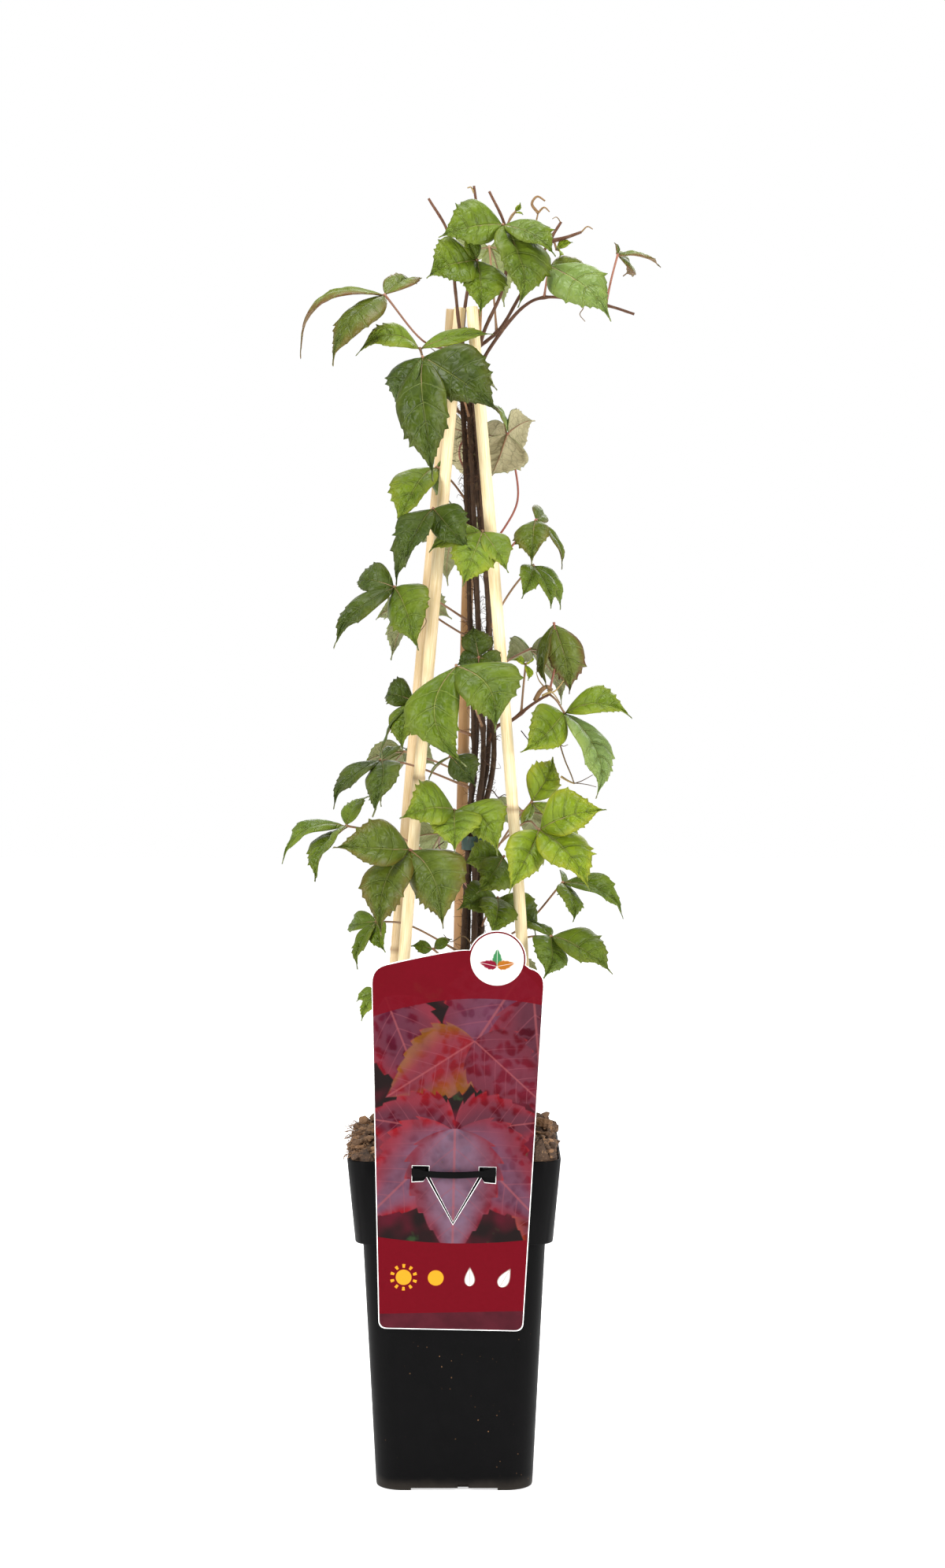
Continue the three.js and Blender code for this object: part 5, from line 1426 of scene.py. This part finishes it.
def grow_blade(growth, hub, blade, facing, others, tone, draw):
    """One leaflet: a grid whose rows follow the side veins from the midrib to the toothed margin."""
    x, y, z, width = blade[:4]
    shape = blade[4] if len(blade) > 4 else {}
    along = Vector((x, y, z)) - hub
    length = along.length
    along.normalize()
    up = Vector(shape["face"]) if "face" in shape else facing.copy()
    up = (up - along * up.dot(along)).normalized()
    across = up.cross(along)
    base = hub + along * blade_start
    arch = shape.get("arch", blade_arch)
    sideways = shape.get("bend", 0)
    lean = max(-1.0, min(1.0, 1.6 * across.dot(others)))
    veins = 6 if width >= 23 else 5 if width >= 17 else 4 if width >= 11 else 3
    teeth = 2 * veins
    sizes = {hand: [draw.uniform(0.1, 1.5) for _ in range(teeth)] for hand in (-1, 1)}
    tint = [share + draw.uniform(-0.08, 0.08) for share in tones[shape.get("tone", tone)]]
    seed = draw.uniform(0, 50)
    ruffle = draw.uniform(0.5, 1.4) * 0.02 * length
    quilt = draw.uniform(0.8, 1.3) * 0.075 * width * half_width
    limp = draw.uniform(0.03, 0.09) * length
    tilt = draw.uniform(-0.06, 0.06)
    hook = draw.uniform(-0.05, 0.05) * length
    fold = blade_fold * draw.uniform(0.4, 1.3)
    curl = draw.uniform(0.0, 0.22)

    def place(row, s):
        v = row / teeth
        number = min(teeth - 1, int(row))
        phase = row - number
        tooth = (phase / tooth_tip) ** 1.8 if phase < tooth_tip else (1 - phase) / (1 - tooth_tip)
        edge = abs(s)
        hand = 1 if s > 0 else -1
        margin = v + 0.2 * math.sin(math.pi * v) ** 0.9 * (1 - v) ** 0.3
        bite = sizes[hand][number] * tooth * edge ** 4 * min(1.0, max(0.0, (margin - 0.42) / 0.2))
        share = v + (margin - v) * edge ** 1.3 + 0.35 * bite / teeth * (1 - v)
        reach = blade_reach(margin) * half_width * width * (1 - 0.18 * lean * hand)
        out = reach * (1 + 0.17 * bite) * s
        crown = 4 * share * (1 - share) * length
        rise = crown * arch + abs(out) * fold * (0.5 + share)
        rise += reach * (0.13 * math.sin(math.pi * edge) - curl * edge ** 3)
        between = 0.5 - 0.5 * math.cos(math.pi * (row - tooth_tip))
        bed = math.sin(math.pi * edge ** 0.9) * min(1.0, 0.3 + 1.4 * v) * (1 - v) ** 0.3
        rise += quilt * (between - 0.35) * bed
        rise += ruffle * edge ** 2 * math.sin(2 * math.pi * (2.1 * v + seed)) * math.sin(math.pi * v)
        rise += 0.035 * width * noise.noise(Vector((v * 3.1, s * 1.4, seed)))
        rise += 0.014 * width * noise.noise(Vector((v * 15, s * 5, seed)))
        tail = max(0.0, (share - 0.7) / 0.3) ** 2
        out += crown * (sideways + tilt * share) + hook * tail
        return base + along * share * (length - blade_start) + across * out + up * (rise - limp * tail)

    rows = []
    for tooth in range(teeth):
        rows += [tooth + phase for phase in (tooth_rows if tooth >= 0.28 * teeth else plain_rows)]
    base_index = growth.point(place(0.0, 0.0), tint)
    grid = []
    for row in rows[1:]:
        line = []
        for column in range(-columns, columns + 1):
            s = column / columns
            line.append((growth.point(place(row, s), tint), ((row - tooth_tip) / 2, s)))
        grid.append(line)
    tip_index = growth.point(place(float(teeth), 0.0), tint)
    first, last = grid[0], grid[-1]
    for (a, map_a), (b, map_b) in zip(first, first[1:]):
        middle = (map_a[1] + map_b[1]) / 2
        growth.face((base_index, a, b), ((-tooth_tip / 2, middle), map_a, map_b))
    for low, high in zip(grid, grid[1:]):
        for j in range(2 * columns):
            corners = (low[j], high[j], high[j + 1], low[j + 1])
            growth.face(tuple(c[0] for c in corners), tuple(c[1] for c in corners))
    for (a, map_a), (b, map_b) in zip(last, last[1:]):
        middle = (map_a[1] + map_b[1]) / 2
        growth.face((a, tip_index, b), (map_a, ((teeth - tooth_tip) / 2, middle), map_b))
    return [place(teeth * i / (rib_steps + 1), 0.0) - up * rib_drop for i in range(rib_steps)]


def leaf_paint(name, upper):
    """A leaf's skin: side veins run to the teeth, with a fine net between, and the rim may be bronze."""
    paint = Paint(name)
    own = paint.own_map()
    place = paint.place()
    row = paint.part(own, "X")
    across = paint.part(own, "Y")
    edge = abs(across)
    tone = paint.tone()
    fresh = paint.part(tone, "X")
    bronze = paint.part(tone, "Y")
    dark = paint.part(tone, "Z")
    pale = paint.tone("Alpha")
    wander = paint.cloud(place, 260, 2) * 0.14 - 0.07
    near_vein = (row + wander).swing(0.5)
    side_veins = (1 - paint.step(near_vein, 0.01, 0.06)) * (1 - 0.5 * edge)
    midrib = 1 - paint.step(edge, 0.01, 0.045)
    mesh_place = paint.shift(paint.vector(row * 1.7, across * 3.3), paint.vector(wander * 5, wander * 5))
    gap = paint.cells(mesh_place, 1.0, "DISTANCE_TO_EDGE")
    net = 1 - paint.step(gap, 0.01, 0.09)
    pillow = paint.step(gap, 0.0, 0.42)
    # The grooves beside the side veins, on the outer part of the leaflet, where painted shade goes
    painted_groove_shade = (1 - paint.step(near_vein, 0.04, 0.2)) * (1 - edge) * paint.step(row, 0.3, 2.0)
    fine_gap = paint.cells(paint.vector(row * 6, across * 11), 1.0, "DISTANCE_TO_EDGE")
    fine = 1 - paint.step(fine_gap, 0.02, 0.2)
    blotch = paint.cloud(place, 70, 3)
    patch = paint.step(blotch, 0.3, 0.7)
    if upper:
        green = paint.mix(patch, (0.056, 0.098, 0.003), (0.108, 0.165, 0.006))
        green = paint.mix(fresh, green, paint.mix(patch, (0.125, 0.185, 0.004), (0.195, 0.272, 0.008)))
        green = paint.mix(dark, green, paint.mix(patch, (0.016, 0.032, 0.001), (0.038, 0.062, 0.002)))
        green = paint.mix(pale, green, (0.17, 0.25, 0.07))
        vein_color = paint.mix(dark, (0.20, 0.27, 0.035), (0.095, 0.13, 0.03))
        rim = paint.step(edge + blotch * 0.5, 0.8, 1.3)
        green = paint.mix(rim * fresh * 0.45, green, (0.36, 0.33, 0.02))
        green = paint.mix(bronze * (0.2 + rim * 0.8), green, (0.115, 0.042, 0.018))
        # Painted shade: the leaf is darkened in the grooves beside its side veins and in the valleys of the
        # net between the quilted pillows
        green = paint.mix(painted_groove_shade * 0.45 + (1 - pillow) * 0.2, green, (0.016, 0.026, 0.002))
        green = paint.mix(net * 0.16 + fine * 0.03, green, vein_color)
        green = paint.mix(side_veins * 0.6, green, vein_color)
        color = paint.mix(midrib * 0.55, green, paint.mix(dark, (0.27, 0.30, 0.07), (0.15, 0.17, 0.045)))
        outer = paint.step(row, 0.4, 3.2) * 0.7 + 0.3
        relief = pillow * outer + blotch * 0.3 - side_veins * 0.9 - midrib
        roughness = 0.27 + blotch * 0.2 + net * 0.05
        return paint.finish(color, roughness, relief, 0.0008, 0.85, Specular_IOR_Level=0.2)
    green = paint.mix(blotch, (0.17, 0.20, 0.07), (0.26, 0.28, 0.12))
    green = paint.mix(fresh, green, (0.25, 0.33, 0.09))
    green = paint.mix(pale, green, (0.50, 0.46, 0.27))
    green = paint.mix(bronze, green, (0.22, 0.125, 0.06))
    color = paint.mix(net * 0.4 + fine * 0.12, green, (0.11, 0.10, 0.035))
    color = paint.mix(side_veins * 0.6 + midrib * 0.7, color, (0.40, 0.38, 0.20))
    relief = side_veins + net * 0.5 + fine * 0.25 + midrib
    return paint.finish(color, 0.55 + blotch * 0.15, relief, 0.0004, 0.7)


def stalk_paint():
    """Petioles: pink to brown-red, greener where they are young."""
    paint = Paint("stalk_skin")
    place = paint.place()
    red = paint.part(paint.tone(), "X")
    blotch = paint.cloud(place, 180, 3)
    green = paint.mix(blotch, (0.15, 0.11, 0.045), (0.26, 0.20, 0.085))
    pink = paint.mix(blotch, (0.20, 0.045, 0.03), (0.38, 0.12, 0.08))
    return paint.finish(paint.mix(red, green, pink), 0.42 + blotch * 0.15, blotch, 0.0002, 0.4)


leaf_upper = leaf_paint("leaf_upper", True)
leaf_under = leaf_paint("leaf_under", False)
stalk_skin = stalk_paint()
redness = {
    "mid": 0.45, "fresh": 0.4, "lime": 0.35, "dark": 0.6, "olive": 0.8, "bronze": 1.0, "sea": 0.8,
    "dull": 1.0,
}


def grow_stalk(growth, points, tone):
    """A petiole: thick at its foot, slim along its length, with a knob at the hub."""
    line = smooth_line(points, 9)
    count = len(line) - 1
    radii = []
    for i in range(count + 1):
        share = i / count
        radii.append(0.62 + 0.55 * math.exp(-share * 14) + 0.22 * math.exp(-(1 - share) * 26))
    growth.tube(line, radii, 7, tone)


for name, stem_leaves in leaves.items():
    draw = random.Random(f"leaves of {name}")
    stalks = Growth()
    foliage = Growth()
    knots = []
    for at, via, hub, tone, blades in stem_leaves:
        hub = Vector(hub)
        start = Vector(at) if isinstance(at, tuple) else point_at_height(stem_samples[name], at)
        knots.append(start)
        route = [Vector(point) for point in via] or [start.lerp(hub, 0.5) + Vector((0, 0, stalk_rise))]
        arrival = (hub - route[-1]).normalized()
        stalk_tone = (redness[tone] * draw.uniform(0.7, 1.1), 0, 0, 1)
        grow_stalk(stalks, [start, *route, hub + arrival * 0.6], stalk_tone)
        out = Vector((hub.x - plant_axis.x, hub.y - plant_axis.y, 0)).normalized()
        facing = out * 0.8 + Vector((0, -0.3 if hub.y < 10 else 0, 0.55))
        blades = blades or rear_blades(hub)
        ways = [(Vector(blade[:3]) - hub).normalized() for blade in blades]
        for index, blade in enumerate(blades):
            others = sum((way for i, way in enumerate(ways) if i != index), Vector())
            rib = grow_blade(foliage, hub, blade, facing, others, tone, draw)
            rib_radii = [0.5 * (1 - i / rib_steps) + 0.12 for i in range(rib_steps)]
            stalks.tube(rib, rib_radii, 4, (0.35 * stalk_tone[0], 0, 0, 1))
    wood = grow_wood(name, knots, draw)
    stalk_piece = stalks.piece(f"stalks_{name}", stalk_skin)
    leaf_piece = foliage.piece(f"leaves_{name}", leaf_upper, leaf_under)
    change_shape(leaf_piece, "SOLIDIFY", thickness=blade_thickness * MM, offset=-1, material_offset=1)
    for piece in (wood, stalk_piece, leaf_piece):
        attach(piece, "root")
        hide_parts(f"stem_{name}")


# Closing
# The scene is brought up to date.
bpy.context.view_layer.update()
